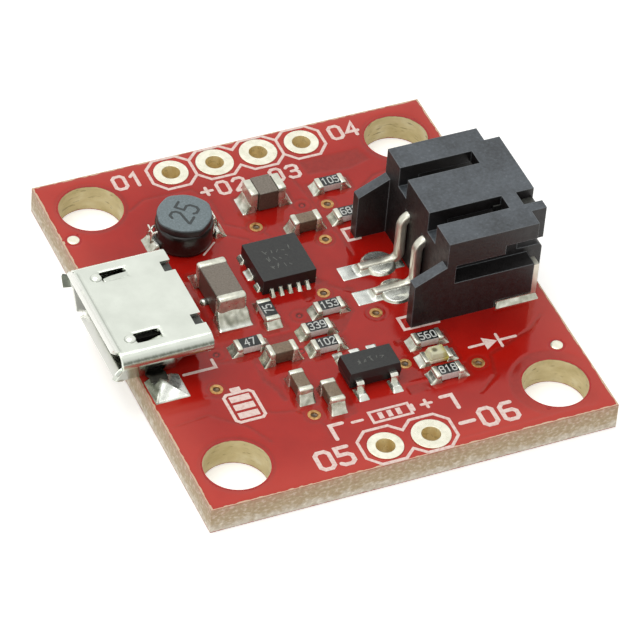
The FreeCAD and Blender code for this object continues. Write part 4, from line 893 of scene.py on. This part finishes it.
def makeChips():
    # Alumina chip with a black glass coat on top: shiny black face, chalky grey sides
    resistor = finish("glazedAlumina", 0.3, 0.0, (0.2, {0.3: "0b0e0d", 0.7: "181d1b"}), split=(0.499, 0.501),
                      sides=(0.12, {0.3: "c4bcb4", 0.7: "e0dad4"}), relief=(0.1, 0.003, 0.02))
    # Barium titanate ceramic, pressed and fired: warm grey-brown, smooth, with fine darker grains; the
    # smaller ones are a browner firing. The faces that don't look up are painted darker: painted shade
    ceramic, brown = (
        finish(name, 0.3, 0.0, (0.09, face, 5.0), sides=(0.12, side, 4.0), relief=(0.08, 0.002))
        for name, face, side in (
            ("firedTitanate", {0.3: "6a6053", 0.55: "7b7266", 0.75: "8a8175"},
             {0.3: "3f352c", 0.7: "5b4e43"}),
            ("firedTitanateBrown", {0.3: "6b5a46", 0.55: "806e58", 0.75: "917f68"},
             {0.3: "4b3b2e", 0.7: "665342"})))
    ends = newStore()
    for end in chipEnds[:-2]:
        x0, x1, y0, y1 = end["end"]
        big = end["name"] == "input_capacitor"
        roundedBox(ends, (x0, y0, board["pad"] - chipShape["seat"]), (x1, y1, end["top"]),
                   chipShape["largeRound"] if big else chipShape["endRound"], 3 if big else 2)
    replaced = [name + "_terminals" for name in chipNames[:-1]]
    evenShade(makePiece("chipEnds", ends, endCap, replaced=replaced))
    for piece, names, material, slotName in (
            ("resistorBodies", chipNames[:9], resistor, "resistor_body"),
            ("smallCeramics", chipNames[9:13], brown, "ceramic_body"),
            ("largeCeramics", chipNames[13:15], ceramic, "ceramic_body")):
        store = newStore()
        for name in names:
            low, high = corners(name + "_body")
            long = int(high[1] - low[1] > high[0] - low[0])
            change = np.full(2, -chipShape["inset"])
            change[long] = chipShape["overlap"]
            low[:2] -= change
            high[:2] += change
            high[2] -= 0 if piece == "resistorBodies" else chipShape["inset"]
            kind = "resistor" if piece == "resistorBodies" else name
            roundedBox(store, low, high, chipShape["bodyRound"].get(kind, chipShape["usualRound"]))
        evenShade(makePiece(piece, store, material, replaced=[name + "_body" for name in names]))


resistorMarks = ["105", "681", "47", "153", "339", "102", "560", "818", "75"]
markPrint = {"line": 0.066, "height": 0.46, "wide": 0.78, "lift": 0.006, "sunk": 0.01}


def makeMarks():
    # White glass print, fired on: thin and slightly broken
    ink = finish("whiteGlassPrint", 0.5, 0.0, (0.08, {0.3: "9fa19d", 0.6: "d6d8d2"}))
    store, height, wide = newStore(), markPrint["height"], markPrint["wide"]
    for number, text in enumerate(resistorMarks, 1):
        low, high = corners(f"resistor_{number}_body")
        x, y, _ = (low + high) / 2
        run = (0.92 * (len(text) - 1) + 0.62) * height * wide
        upright = high[1] - low[1] > high[0] - low[0]
        x, y = (x + height / 2, y - run / 2) if upright else (x - run / 2, y - height / 2)
        store["low"], store["top"] = high[2] - markPrint["sunk"], high[2] + markPrint["lift"]
        write(store, text, x, y, height, markPrint["line"], 90 if upright else 0, wide=wide)
    makePiece("resistorMarks", store, ink, smooth=False)


makeChips()
makeMarks()
print("chip parts")


# Tin-plated copper alloy leads: bright with soft bends
leadTin = finish("tinnedLead", 0.22, 1.0, (0.3, {0.3: "cfcfc3", 0.6: "e6e6da"}), gloss=(0.15, 0.16, 0.34),
                 relief=(0.2, 0.003, 0.05))
# rows of laser strokes: (first x, y, strokes)
laserRows = {"converter_chip_body": path("0.8,2.78,5 0.8,2.2,4 0.8,1.62,4"),
             "charger_chip_body": path("-0.75,-6.62,5")}


def makePackages():
    # Black moulding epoxy, satin from a fine spark-eroded mould: dark grey face; sides painted near black
    # as painted shade, and a painted highlight on the corners
    epoxy = finish("mouldedEpoxy", 0.42, 0.0, (0.12, {0.3: "171817", 0.7: "282926"}, 5.0),
                   sides=(0.12, {0.3: "0b0a09", 0.7: "131110"}, 5.0), edgeGlint=(0.05, "4a4c4b", 0.6),
                   relief=(0.07, 0.005, 0.045))
    dress(epoxy, "converter_chip_body", "charger_chip_body")
    dress(leadTin, "converter_chip_terminals", "charger_chip_leads")
    # faint laser marks that spell nothing: short random strokes in rows
    faint = finish("laserMark", 0.6, 0.0, (0.07, {0.3: "4a4c48", 0.7: "6b6d67"}))
    store, dice, pitch = newStore(), random.Random(3), 0.33
    for name, rows in laserRows.items():
        low, high = corners(name)
        store["low"], store["top"] = high[2] - 0.02, high[2] + 0.002
        tall, start = (0.36, low[0]) if name == "converter_chip_body" else (0.4, 0.0)
        for x0, y0, count in rows:
            for k in range(int(count) * 3):
                x = start + x0 + pitch * (k // 3)
                a, b = ((x + dice.uniform(0, pitch * 0.6), y0 + dice.uniform(0, tall)) for _ in range(2))
                if math.dist(a, b) > 0.12:
                    ribbon(store, [a, b], 0.045)
    makePiece("laserMarks", store, faint, smooth=False)


makePackages()
print("packages")


def tube(store, points, radius, sides=8):
    # a round wire along a few points
    line, rows = [Vector(p) for p in path(points)], []
    turns = [2 * math.pi * k / sides for k in range(sides)]
    for i, p in enumerate(line):
        along = (line[min(i + 1, len(line) - 1)] - line[max(i - 1, 0)]).normalized()
        side = along.cross(Vector((0.13, 0.21, 1))).normalized() * radius
        up = side.cross(along)
        rows.append([p + side * math.cos(turn) + up * math.sin(turn) for turn in turns])
    loft(store, rows, caps=(0, -1))


coil = {
    "centre": (-5.17, 6.33), "top": 3.49, "face": 1.38, "wire": 0.06,
    "mark": "25", "height": 1.2, "pitch": 0.8, "line": 0.15, "turn": 46,
    "core": "1.3,2.9 1.44,2.97 1.47,3.08 1.47,3.38 1.44,3.45",
    "winding": "1.42,1.6 1.53,1.7 1.57,1.95 1.57,2.35 1.57,2.7 1.55,2.9 1.49,3.01 1.475,3.02 1.3,3.025",
    "wires": [
        "-7.02,6.3,1.9 -6.98,6.34,2.3 -6.9,6.3,2.55 -6.7,6.2,2.68 -6.5,6,2.72 -6.35,5.7,2.7 -6.2,5.4,2.66",
        "-7.02,6.75,2.1 -6.9,6.7,2.45 -6.7,6.85,2.5 -6.45,7,2.45",
        "-3.22,6.3,1.9 -3.26,6.4,2.4 -3.4,6.3,2.62 -3.6,6.1,2.7 -3.7,5.8,2.6 -3.78,5.5,2.4",
    ],
}


def makeInductor():
    # Nickel-zinc ferrite, ground flat: slate grey, matt, with fine pale grains
    ferrite = finish("groundFerrite", 0.5, 0.0, (0.1, {0.3: "606c6e", 0.55: "707d80", 0.75: "838f92"}, 5.0),
                     sides=(0.3, {0.3: "161413", 0.7: "262322"}), relief=(0.08, 0.005))
    # Magnetic resin over the winding: brown black, glossy where it flowed
    resin = finish("flowedResin", 0.28, 0.0, (0.6, {0.3: "100b09", 0.7: "1f1713"}), relief=(0.7, 0.05))
    # Black stamping ink
    ink = finish("stampedInk", 0.5, 0.0, (0.1, {0.3: "252a2a", 0.7: "3a4242"}))
    (x, y), top, face = coil["centre"], coil["top"], coil["face"]

    def squared(turn, z):
        # four blunt corners on the flange, one behind the face
        blunt = hump((math.degrees(turn) - 103 + 45) % 90 - 45, 13)
        return 1 + 0.055 * blunt * (z < top - 0.02)

    def barrel(turn, z):
        return 1 + 0.02 * math.cos(3 * turn + 1) + 0.025 * math.cos(4 * turn - 0.4) * max(0, 2.6 - z)

    core, wound = newStore(), newStore()
    rim = [(face, top - 0.004), (face - 0.05, top), (0.6, top)]
    lathe(core, (x, y), path(coil["core"]) + rim, 72, squared)
    makePiece("drumCore", core, ferrite, replaced=("inductor_core",))
    lathe(wound, (x, y), path(coil["winding"]), 64, barrel)
    makePiece("coilResin", wound, resin, replaced=("inductor_winding",))

    # clips at the two sides with the wire's ends laid over them
    clips = newStore()
    for side in (-1, 1):
        upper, lower = (across(-5.1 + 1.83 * side, side, inner, 0) for inner in (0.1, 0.55))
        roundedBox(clips, (upper[0], 6.42, 1.64), (upper[1], 7.12, 2.5), 0.03)
        roundedBox(clips, (lower[0], 6.0, 1.66), (lower[1], 6.9, 1.86), 0.05)
    for wire in coil["wires"]:
        tube(clips, wire, coil["wire"])
    evenShade(makePiece("coilClips", clips, leadTin, replaced=("inductor_terminals",)))

    store, height, turn = newStore(top - 0.02, top + 0.001), coil["height"], math.radians(coil["turn"])
    wide = coil["pitch"] / 0.92 / height
    run = (0.92 + 0.62) * height * wide
    textX = x - run / 2 * math.cos(turn) + height / 2 * math.sin(turn)
    textY = y - run / 2 * math.sin(turn) - height / 2 * math.cos(turn)
    write(store, coil["mark"], textX, textY, height, coil["line"], coil["turn"], wide=wide)
    makePiece("inductorMark", store, ink, smooth=False)


makeInductor()
print("inductor")


# yellow ends start and finish at these x; the diode's place is in mm
lamp = {
    "lensYellow": (3.96, 4.16), "baseYellow": (3.85, 4.2), "diode": (3.66, -6.42, 2.2), "baseTop": 1.86,
    "wire": "3.68,-6.4,1.98 3.74,-6.42,2.07 3.9,-6.46,2.08 4.06,-6.5,1.9",
    # low corner, high corner and rounding of the diode, its foot and the land of the wire
    "die": ((3.58, -6.5, 1.865), (3.78, -6.3, 1.98), 0.02),
    "foot": ((3.55, -6.74, 1.862), (3.62, -6.62, 1.89), 0.01),
    "land": ((3.98, -6.68, 1.862), (4.22, -6.34, 1.88), 0.008),
}


def makeLamp():
    def yellow(tree, low, high):
        along = addNode(tree, "SeparateXYZ", {0: place(tree)}, "X")
        return addNode(tree, "MapRange", {"Value": along, "From Min": low * metre, "From Max": high * metre})

    def paintLens(tree):
        clear = coat(tree, (0.3, {0.3: "eeeabf", 0.7: "fbf8dc"}), yellow(tree, *lamp["lensYellow"]), "ddd48a")
        # the diode shows through as a dark smudge
        diode = [v * metre for v in lamp["diode"]]
        away = addNode(tree, "VectorMath", {0: place(tree), 1: diode}, "Value", operation="DISTANCE")
        smudge = addNode(tree, "MapRange", {"Value": away, "From Min": 0.2 * metre,
                                            "From Max": 0.1 * metre, "To Max": 0.85})
        return coat(tree, clear, smudge, "5e5a3c")

    def paintBase(tree):
        return coat(tree, (0.15, {0.3: "d8d2b0", 0.7: "efebd6"}), yellow(tree, *lamp["baseYellow"]), "ccc65c")

    # Clear epoxy over a small diode: pale straw, glassy, faintly cloudy
    lens = finish("clearLampEpoxy", 0.14, 0.0, paintLens, relief=(0.3, 0.012),
                  fixed={"IOR": 1.52, "Transmission Weight": 0.35})
    # Glass epoxy base, cream, with a pale yellow cast at one end from the phosphor
    cream = finish("creamLampBase", 0.5, 0.0, paintBase)
    # Gallium phosphide chip: dark, glossy
    die = finish("diodeChip", 0.2, 0.0, (0.1, {0.3: "34331f", 0.7: "5c5a30"}))

    (x0, y0, _), (x1, y1, _) = corners("status_lamp_base")
    top, split = corners("status_lamp_lens")[1][2], lamp["baseTop"]
    base, shine, chip, wire, ends = (newStore() for _ in range(5))
    roundedBox(base, (x0, y0, board["pad"]), (x1, y1, split), 0.04)
    evenShade(makePiece("lampBase", base, cream, replaced=("status_lamp_base",)))
    roundedBox(shine, (x0 + 0.01, y0 + 0.01, split - 0.005), (x1 - 0.01, y1 - 0.01, top),
               0.06, 3, (0.74, 0.76))
    evenShade(makePiece("lampLens", shine, lens, replaced=("status_lamp_lens",)))
    roundedBox(chip, *lamp["die"])
    roundedBox(chip, *lamp["foot"])
    makePiece("lampDie", chip, die)
    tube(wire, lamp["wire"], 0.012, 6)
    roundedBox(wire, *lamp["land"])
    makePiece("lampWire", wire, leadTin)
    for end in chipEnds[-2:]:
        x0, x1, y0, y1 = end["end"]
        roundedBox(ends, (x0, y0, board["pad"] - chipShape["seat"]), (x1, y1, end["top"]), 0.04)
    evenShade(makePiece("lampEnds", ends, endCap, replaced=("status_lamp_terminals",)))


makeLamp()
print("status lamp")


def roundedPath(points, radii, step):
    # a path in the plane with its corners turned into arcs, cut into short steps
    line = [np.array(p, float) for p in points]
    made = [line[0]]
    for before, here, after, radius in zip(line, line[1:], line[2:], radii):
        a, b = (before - here) / np.linalg.norm(before - here), (after - here) / np.linalg.norm(after - here)
        bend = math.acos(float(np.clip(a @ b, -1, 1)))
        reach, swing = radius / math.tan(bend / 2), math.pi - bend
        middle = here + (a + b) / np.linalg.norm(a + b) * radius / math.sin(bend / 2)
        start, end = here + a * reach - middle, here + b * reach - middle
        for share in np.linspace(0, 1, max(int(radius * swing / step), 3) + 1):
            turned = start * math.sin((1 - share) * swing) + end * math.sin(share * swing)
            made.append(middle + turned / math.sin(swing))
    made.append(line[-1])
    fine = [made[0]]
    for a, b in zip(made, made[1:]):
        count = max(int(math.ceil(np.linalg.norm(b - a) / step)), 1)
        fine += [a + (b - a) * (k + 1) / count for k in range(count)]
    return np.array(fine)


def stations(breaks, step):
    # places through all the breaks, no further apart than step
    breaks, found = sorted(breaks), []
    for a, b in zip(breaks, breaks[1:]):
        count = max(int(math.ceil((b - a) / step)), 1)
        found += [a + (b - a) * k / count for k in range(count)]
    return np.array(found + [breaks[-1]])


shell = {
    "front": -12.58, "rear": -7.58, "sheet": 0.2, "half": 3.65, "top": 4.12, "corner": 0.55, "knee": 3.5,
    "inlet": -12.0, "inletEnd": -12.44, "bottomHalf": 2.65, "bottom": 1.74, "skirtEnd": -9.28, "lip": 0.4,
    "window": (-11.46, -10.0, 2.02, 2.78), "windowRound": 0.2, "notch": (-8.16, 1.71, 2.49),
    "footHole": (-10.92, -10.0, 2.78), "bump": (-11.7, 2.4, 0.32, 0.15), "burnish": 0.045,
    # half widths of the tongues of roof and floor, then foot and tip of the side tongues, near and far
    "tongues": (3.12, 2.5, (2.85, 3.08), (3.4, 3.56)),
}


def makeShell(metal):
    front, rear, top, bottom, knee, wide, inlet, lip, arc = (shell[key] for key in (
        "front", "rear", "top", "bottom", "knee", "half", "inlet", "lip", "windowRound"))
    wx0, wx1, wy0, wy1 = shell["window"]
    notchX, ny0, ny1 = shell["notch"]
    hole0, hole1, holeTop = shell["footHole"]
    flatHalf = wide - shell["corner"]

    # the section from the middle of the floor up to the middle of the roof, then mirrored
    side = roundedPath([(0, bottom), (shell["bottomHalf"], bottom), (wide, knee), (wide, top),
                        (flatHalf, top)], [0.3, 0.3, shell["corner"] - 0.01], 0.09)
    roof = stations({0, ny0, wy0, ny1, wy1, flatHalf}, 0.07)[::-1]
    side = np.concatenate([side[:-1], np.stack([roof, np.full(roof.shape, top)], -1)])
    section = np.concatenate([side, (side[::-1] * (-1, 1))[1:-1]])
    along = stations({front - lip, front, wx0, wx1, hole0, hole1, shell["skirtEnd"], notchX, rear}, 0.08)
    tangent = np.roll(section, -1, 0) - np.roll(section, 1, 0)
    tangent = tangent / np.linalg.norm(tangent, axis=1)[:, None]
    px, turn = np.meshgrid(along, np.arange(len(section)), indexing="ij")
    y, z = section[turn, 0], section[turn, 1]
    off = np.abs(y)
    onRoof, onFloor = z > top - 0.12, z < bottom + 0.12

    # the mouth flares; its floor turns down later and stops short of the roof's lip
    reach, depth = np.clip(front - px, 0, None) / lip, inlet - front + lip
    bent = np.clip((inlet - px) / depth, 0, 1) * onFloor
    rise = np.where(onFloor, 0.16 * bent ** 1.2, np.where(onRoof, 0.25, 0.24) * reach ** 1.35)
    drawn = np.where(onFloor & (px < inlet), inlet + (px - inlet) * (inlet - shell["inletEnd"]) / depth, px)
    crease = hump(px - front - 0.1, 0.07) * onRoof * smoothStep(3.2 - off, 0, 0.2)
    # the plate sags a little beside each window, but not at its dimple
    bumpX, bumpY, bumpRadius, _ = shell["bump"]
    around = np.maximum(past(px, wx0, wx1), past(off, wy0, wy1))
    sag = hump(around, 0.09) * (onRoof & (np.hypot(px - bumpX, off - bumpY) > bumpRadius))
    rise = rise - 0.03 * crease - 0.04 * sag

    # round the windows' corners: the nearest points go onto the arcs
    cut = boxDistance(px, off, wx0, wx1, wy0, wy1, arc)
    cx, cy = np.clip(px, wx0 + arc, wx1 - arc), np.clip(off, wy0 + arc, wy1 - arc)
    gapX, gapY = px - cx, off - cy
    pull = arc / np.maximum(np.hypot(gapX, gapY), 1e-9)
    near = onRoof & (gapX != 0) & (gapY != 0) & (np.abs(cut) < 0.05) & (px > front)
    drawn = np.where(near, cx + gapX * pull, drawn)
    y = np.where(near, np.sign(y) * (cy + gapY * pull), y)
    gone = onRoof & (cut < -1e-6) & ~near
    points = np.stack([drawn, y + tangent[turn, 1] * rise, z - tangent[turn, 0] * rise], -1)

    # painted light in the tones: streaky painted shade along the side folds, painted shade on the
    # near slanted side, in the crease, round the windows and on the side lips, and painted
    # highlights on the flared lips and the mouth
    streak = 0.8 + 0.2 * np.sin(px * 9) * np.sin(px * 23 + 1) + 0.15 * np.sin(px * 41 + z * 30)
    bend = streak * hump(z - 3.81, 0.08) + 0.28 * smoothStep(4.14 - z, 0.0, 0.3)
    bend = np.where(z > 3.45, bend, 0.55 * smoothStep(3.6 - z, 0, 0.15) * (y < 0)) * (px > front)
    folds = 0.45 * crease + np.where(onRoof, 0.12 * hump(around, 0.1), bend)
    sideLip = (px < front - 0.01) & ~onRoof & ~onFloor
    folds = np.where(sideLip, np.where(y > 0, 1.0, 0.35), folds)
    mouthGleam = 0.9 * smoothStep(-11.2 - px, 0, 0.6) * ((y > 0) & ~onRoof & ~sideLip)
    gleams = np.maximum(np.maximum(reach * 2, bent * 6) * ~sideLip, mouthGleam)

    # cells that stay: tongues of the lips in front, and elsewhere all but the openings
    ahead = (np.arange(len(section)) + 1) % len(section)
    cellX = ((along[:-1] + along[1:]) / 2)[:, None]
    cellY, cellZ = ((section + section[ahead]) / 2).T
    cellOff, onTop, onBase = np.abs(cellY), cellZ > top - 0.02, cellZ < bottom + 0.02
    roofHalf, floorHalf, tipFrom, tipTo = shell["tongues"]
    tongue = (np.where(cellY < 0, *tipFrom) < cellZ) & (cellZ < np.where(cellY < 0, *tipTo))
    tongue = np.where(onTop, cellOff < roofHalf, np.where(onBase, cellOff < floorHalf, tongue))
    openCell = gone[:-1] | gone[1:] | gone[:-1][:, ahead] | gone[1:][:, ahead]
    openCell |= onTop & (cellX > notchX) & (ny0 < cellOff) & (cellOff < ny1)
    openCell |= (cellZ < knee - 0.12) & (cellX > shell["skirtEnd"])
    openCell |= ~onBase & (cellZ < holeTop) & (hole0 < cellX) & (cellX < hole1)
    index = np.arange(px.size).reshape(px.shape)
    quads = np.stack([index[:-1], index[:-1][:, ahead], index[1:][:, ahead], index[1:]], -1)
    store = newStore()
    store["points"] = points.reshape(-1, 3).tolist()
    store["faces"] = quads[np.where(cellX < front, tongue, ~openCell)].tolist()

    # a sprung leaf in each window
    for side in (-1, 1):
        rows = []
        for t in np.linspace(0, 1, 12):
            x, half = wx1 + 0.06 + (wx0 - wx1 + 0.1) * t, 0.2 * (1 - 0.35 * max(t - 0.7, 0) / 0.3)
            drop = 0.1 * t if side > 0 else 0.2 + 0.35 * t
            rows.append([(x, side * 2.4 - 0.16 + half * v, top - 0.04 - drop) for v in (-1, -0.33, 0.33, 1)])
        loft(store, rows, around=False)
    piece = makePiece("usbShell", store, metal, replaced=("usb_shell",))
    # the leaves take a little painted shade and no painted highlight
    leaves = np.ones(len(store["points"]) - px.size)
    paintPoints(piece, fold=np.append(np.clip(folds, 0, 1), 0.15 * leaves),
                lip=np.append(np.clip(gleams, 0, 1), 0 * leaves))
    trim = bmesh.new()
    trim.from_mesh(piece.data)
    bmesh.ops.delete(trim, geom=[corner for corner in trim.verts if not corner.link_faces], context="VERTS")
    bmesh.ops.recalc_face_normals(trim, faces=trim.faces)
    trim.to_mesh(piece.data)
    trim.free()
    thicken(piece, shell["sheet"])
    soft = piece.modifiers.new("burnished", "BEVEL")
    soft.width, soft.segments = shell["burnish"] * metre, 2
    soft.limit_method, soft.angle_limit = "ANGLE", math.radians(50)
    evenShade(piece)


def makeShellParts(metal):
    # a smooth dimple in front of each window
    x, y, radius, rise = shell["bump"]
    foot, store = shell["top"] + 0.09, newStore()
    profile = [(radius * math.sin(t), foot + rise * math.cos(t) ** 1.5)
               for t in np.linspace(0.5 * math.pi, 0.02, 12)]
    for side in (-1, 1):
        lathe(store, (x, side * y), profile, 40)
    # painted shade round each dimple's foot and a painted highlight on its crown
    crown = np.array(store["points"])[:, 2] - foot
    paintPoints(makePiece("shellDimples", store, metal),
                fold=0.65 - 0.65 * smoothStep(crown, 0, 0.1), lip=0.3 * smoothStep(crown, 0.04, 0.13))

    # Feet: the same sheet, painted near black: painted shade under the shell's sides
    stained = finish("stainedSheet", 0.4, 0.6, (0.3, {0.3: "1c1b16", 0.7: "3a3930"}), relief=(0.3, 0.006))
    store, places = newStore(), np.linspace(*shell["footHole"][:2], 7)
    foot = roundedPath(path("2.55,1.82 2.85,1.86 3.3,2.12 3.58,1.96"), [0.1, 0.12], 0.06)
    for side in (-1, 1):
        loft(store, [[(x, side * out, level) for x in places] for out, level in foot], around=False)
    thicken(makePiece("shellFeet", store, stained), 0.16)


pins = {"path": "2.62,1.82 4.93,1.82 4.93,4.75 9.9,4.75", "bends": [0.5, 0.6],
        "half": 0.25, "coined": 0.17, "y": 1.0}


def makePins():
    # Tin over brass wire: soft bright silver, coined flatter at the foot
    metal = finish("tinnedPin", 0.34, 0.8, (0.6, {0.3: "cfcdbd", 0.7: "e6e4d6"}), gloss=(0.4, 0.3, 0.4),
                   relief=(0.8, 0.003))
    dress(metal, "battery_tab_1", "battery_tab_2", "usb_contacts")
    line, full, ring = roundedPath(path(pins["path"]), pins["bends"], 0.1), pins["half"], 16
    for number, side in ((1, -1), (2, 1)):
        rows = []
        for i, (x, z) in enumerate(line):
            run = line[min(i + 1, len(line) - 1)] - line[max(i - 1, 0)]
            dx, dz = run / np.linalg.norm(run)
            half = pins["coined"] + (full - pins["coined"]) * float(smoothStep(x, 3.9, 4.8))
            row = []
            for turn in (2 * math.pi * (k + 0.5) / ring for k in range(ring)):
                # a square with rounded corners, narrower at the two ends
                c, s = math.cos(turn), math.sin(turn)
                square = (abs(c) ** 5 + abs(s) ** 5) ** -0.2 * (0.82 if i in (0, len(line) - 1) else 1)
                row.append((x - dz * half * s * square, side * pins["y"] + full * c * square,
                            z + dx * half * s * square))
            rows.append(row)
        store = newStore()
        loft(store, rows, caps=(0, -1))
        makePiece(f"batteryPin{number}", store, metal, replaced=(f"battery_pin_{number}",))


housing = {
    "bloomAndSheen": (0.16, {0.3: "2f3336", 0.5: "43484c", 0.62: "4d5358", 0.78: "6c7378"}, 4.0),
    "cloud": (1.9, {0.36: "34383b", 0.64: "5d646a"}), "recessShade": "1d1b1b", "shelf": 4.9, "front": 5.3,
}


def paintHousing(tree):
    bloomAndSheen = coat(tree, housing["bloomAndSheen"], 0.4, mottle(tree, *housing["cloud"]))
    # painted shade: shelves low inside the recesses take a near black colour
    at = addNode(tree, "SeparateXYZ", {0: place(tree)}).node.outputs
    high = addNode(tree, "Math", {0: at["Z"], 1: housing["shelf"] * metre}, operation="GREATER_THAN")
    behind = addNode(tree, "Math", {0: at["X"], 1: housing["front"] * metre}, operation="LESS_THAN")
    outsideRecesses = addNode(tree, "Math", {0: high, 1: behind}, operation="MAXIMUM")
    return coat(tree, housing["recessShade"], outsideRecesses, bloomAndSheen)


def makeMouldings():
    # Glass-filled nylon, moulded black: flats grey with fine speckle, partly bloom and partly painted
    # sheen; sides painted near black as painted shade, and a painted highlight on the corners
    nylon = finish("mouldedNylon", 0.42, 0.0, paintHousing,
                   sides=(0.16, {0.3: "0d0b0b", 0.7: "1b1818"}, 6.0),
                   edgeGlint=(0.08, "7d8386", 0.8), gloss=(0.3, 0.36, 0.52), relief=(0.1, 0.01, 0.07))
    dress(nylon, "battery_socket_housing")
    # Liquid-crystal polymer: black, smoother; its sides painted darker than its top: painted shade
    liner = finish("blackLiner", 0.45, 0.0, (0.2, {0.3: "2e2e2b", 0.7: "454641"}),
                   sides=(0.2, {0.3: "131312", 0.7: "1d1d1b"}), relief=(0.12, 0.004, 0.04))
    dress(liner, "usb_insulator")
    shadeCardsAndLugs, ribs = newStore(), newStore()
    # dark sheets inside the shell's sides over the foot holes: painted shade
    for side in (-1, 1):
        y0, y1 = across(0, side, -2.5, 2.6)
        roundedBox(shadeCardsAndLugs, (-11.3, y0, 1.86), (-9.6, y1, 3.6), 0.02)
    # rear lugs of the liner, seen in the shell's notches
    notchX, y0, y1 = shell["notch"]
    for low, high in ((y0, y1), (-y1, -y0)):
        roundedBox(shadeCardsAndLugs, (notchX - 0.12, low - 0.06, 3.3), (shell["rear"] - 0.02, high + 0.06, 3.96), 0.04)
    makePiece("shellShadeCardsAndLugs", shadeCardsAndLugs, liner)

    # floor of the key notch and ribs beside the roof's slots
    roundedBox(ribs, (10.2, -2.35, 6.25), (11.16, -1.37, 6.4), 0.03)
    for side in (-1, 1):
        y0, y1 = across(0, side, -1.35, 1.45)
        roundedBox(ribs, (8.9, y0, 5.75), (10.15, y1, 6.4), 0.03)
    makePiece("socketRibs", ribs, liner)


# Stainless sheet, nickel plated, stamped and folded: satin silver, with painted shade in the folds and
# creases and painted highlights on the lips
platedSheet = finish("platedSheet", 0.2, 1.0, (1.6, {0.3: "dce1d6", 0.7: "e6ebe0"}),
                     coats=[("fold", "6a6e63"), ("lip", "fafaf2")], gloss=(0.8, 0.16, 0.24),
                     relief=(0.9, 0.004))
sheetTree = platedSheet.node_tree
# painted highlight: the lips turn from metal towards near white
gleamShare = addNode(sheetTree, "Attribute", {}, "Fac", attribute_name="lip")
feed(sheetTree, "Metallic", addNode(sheetTree, "MapRange", {
    "Value": gleamShare, "To Min": 1.0, "To Max": 0.35}))
makeShell(platedSheet)
makeShellParts(platedSheet)
makePins()
makeMouldings()
print("sockets")
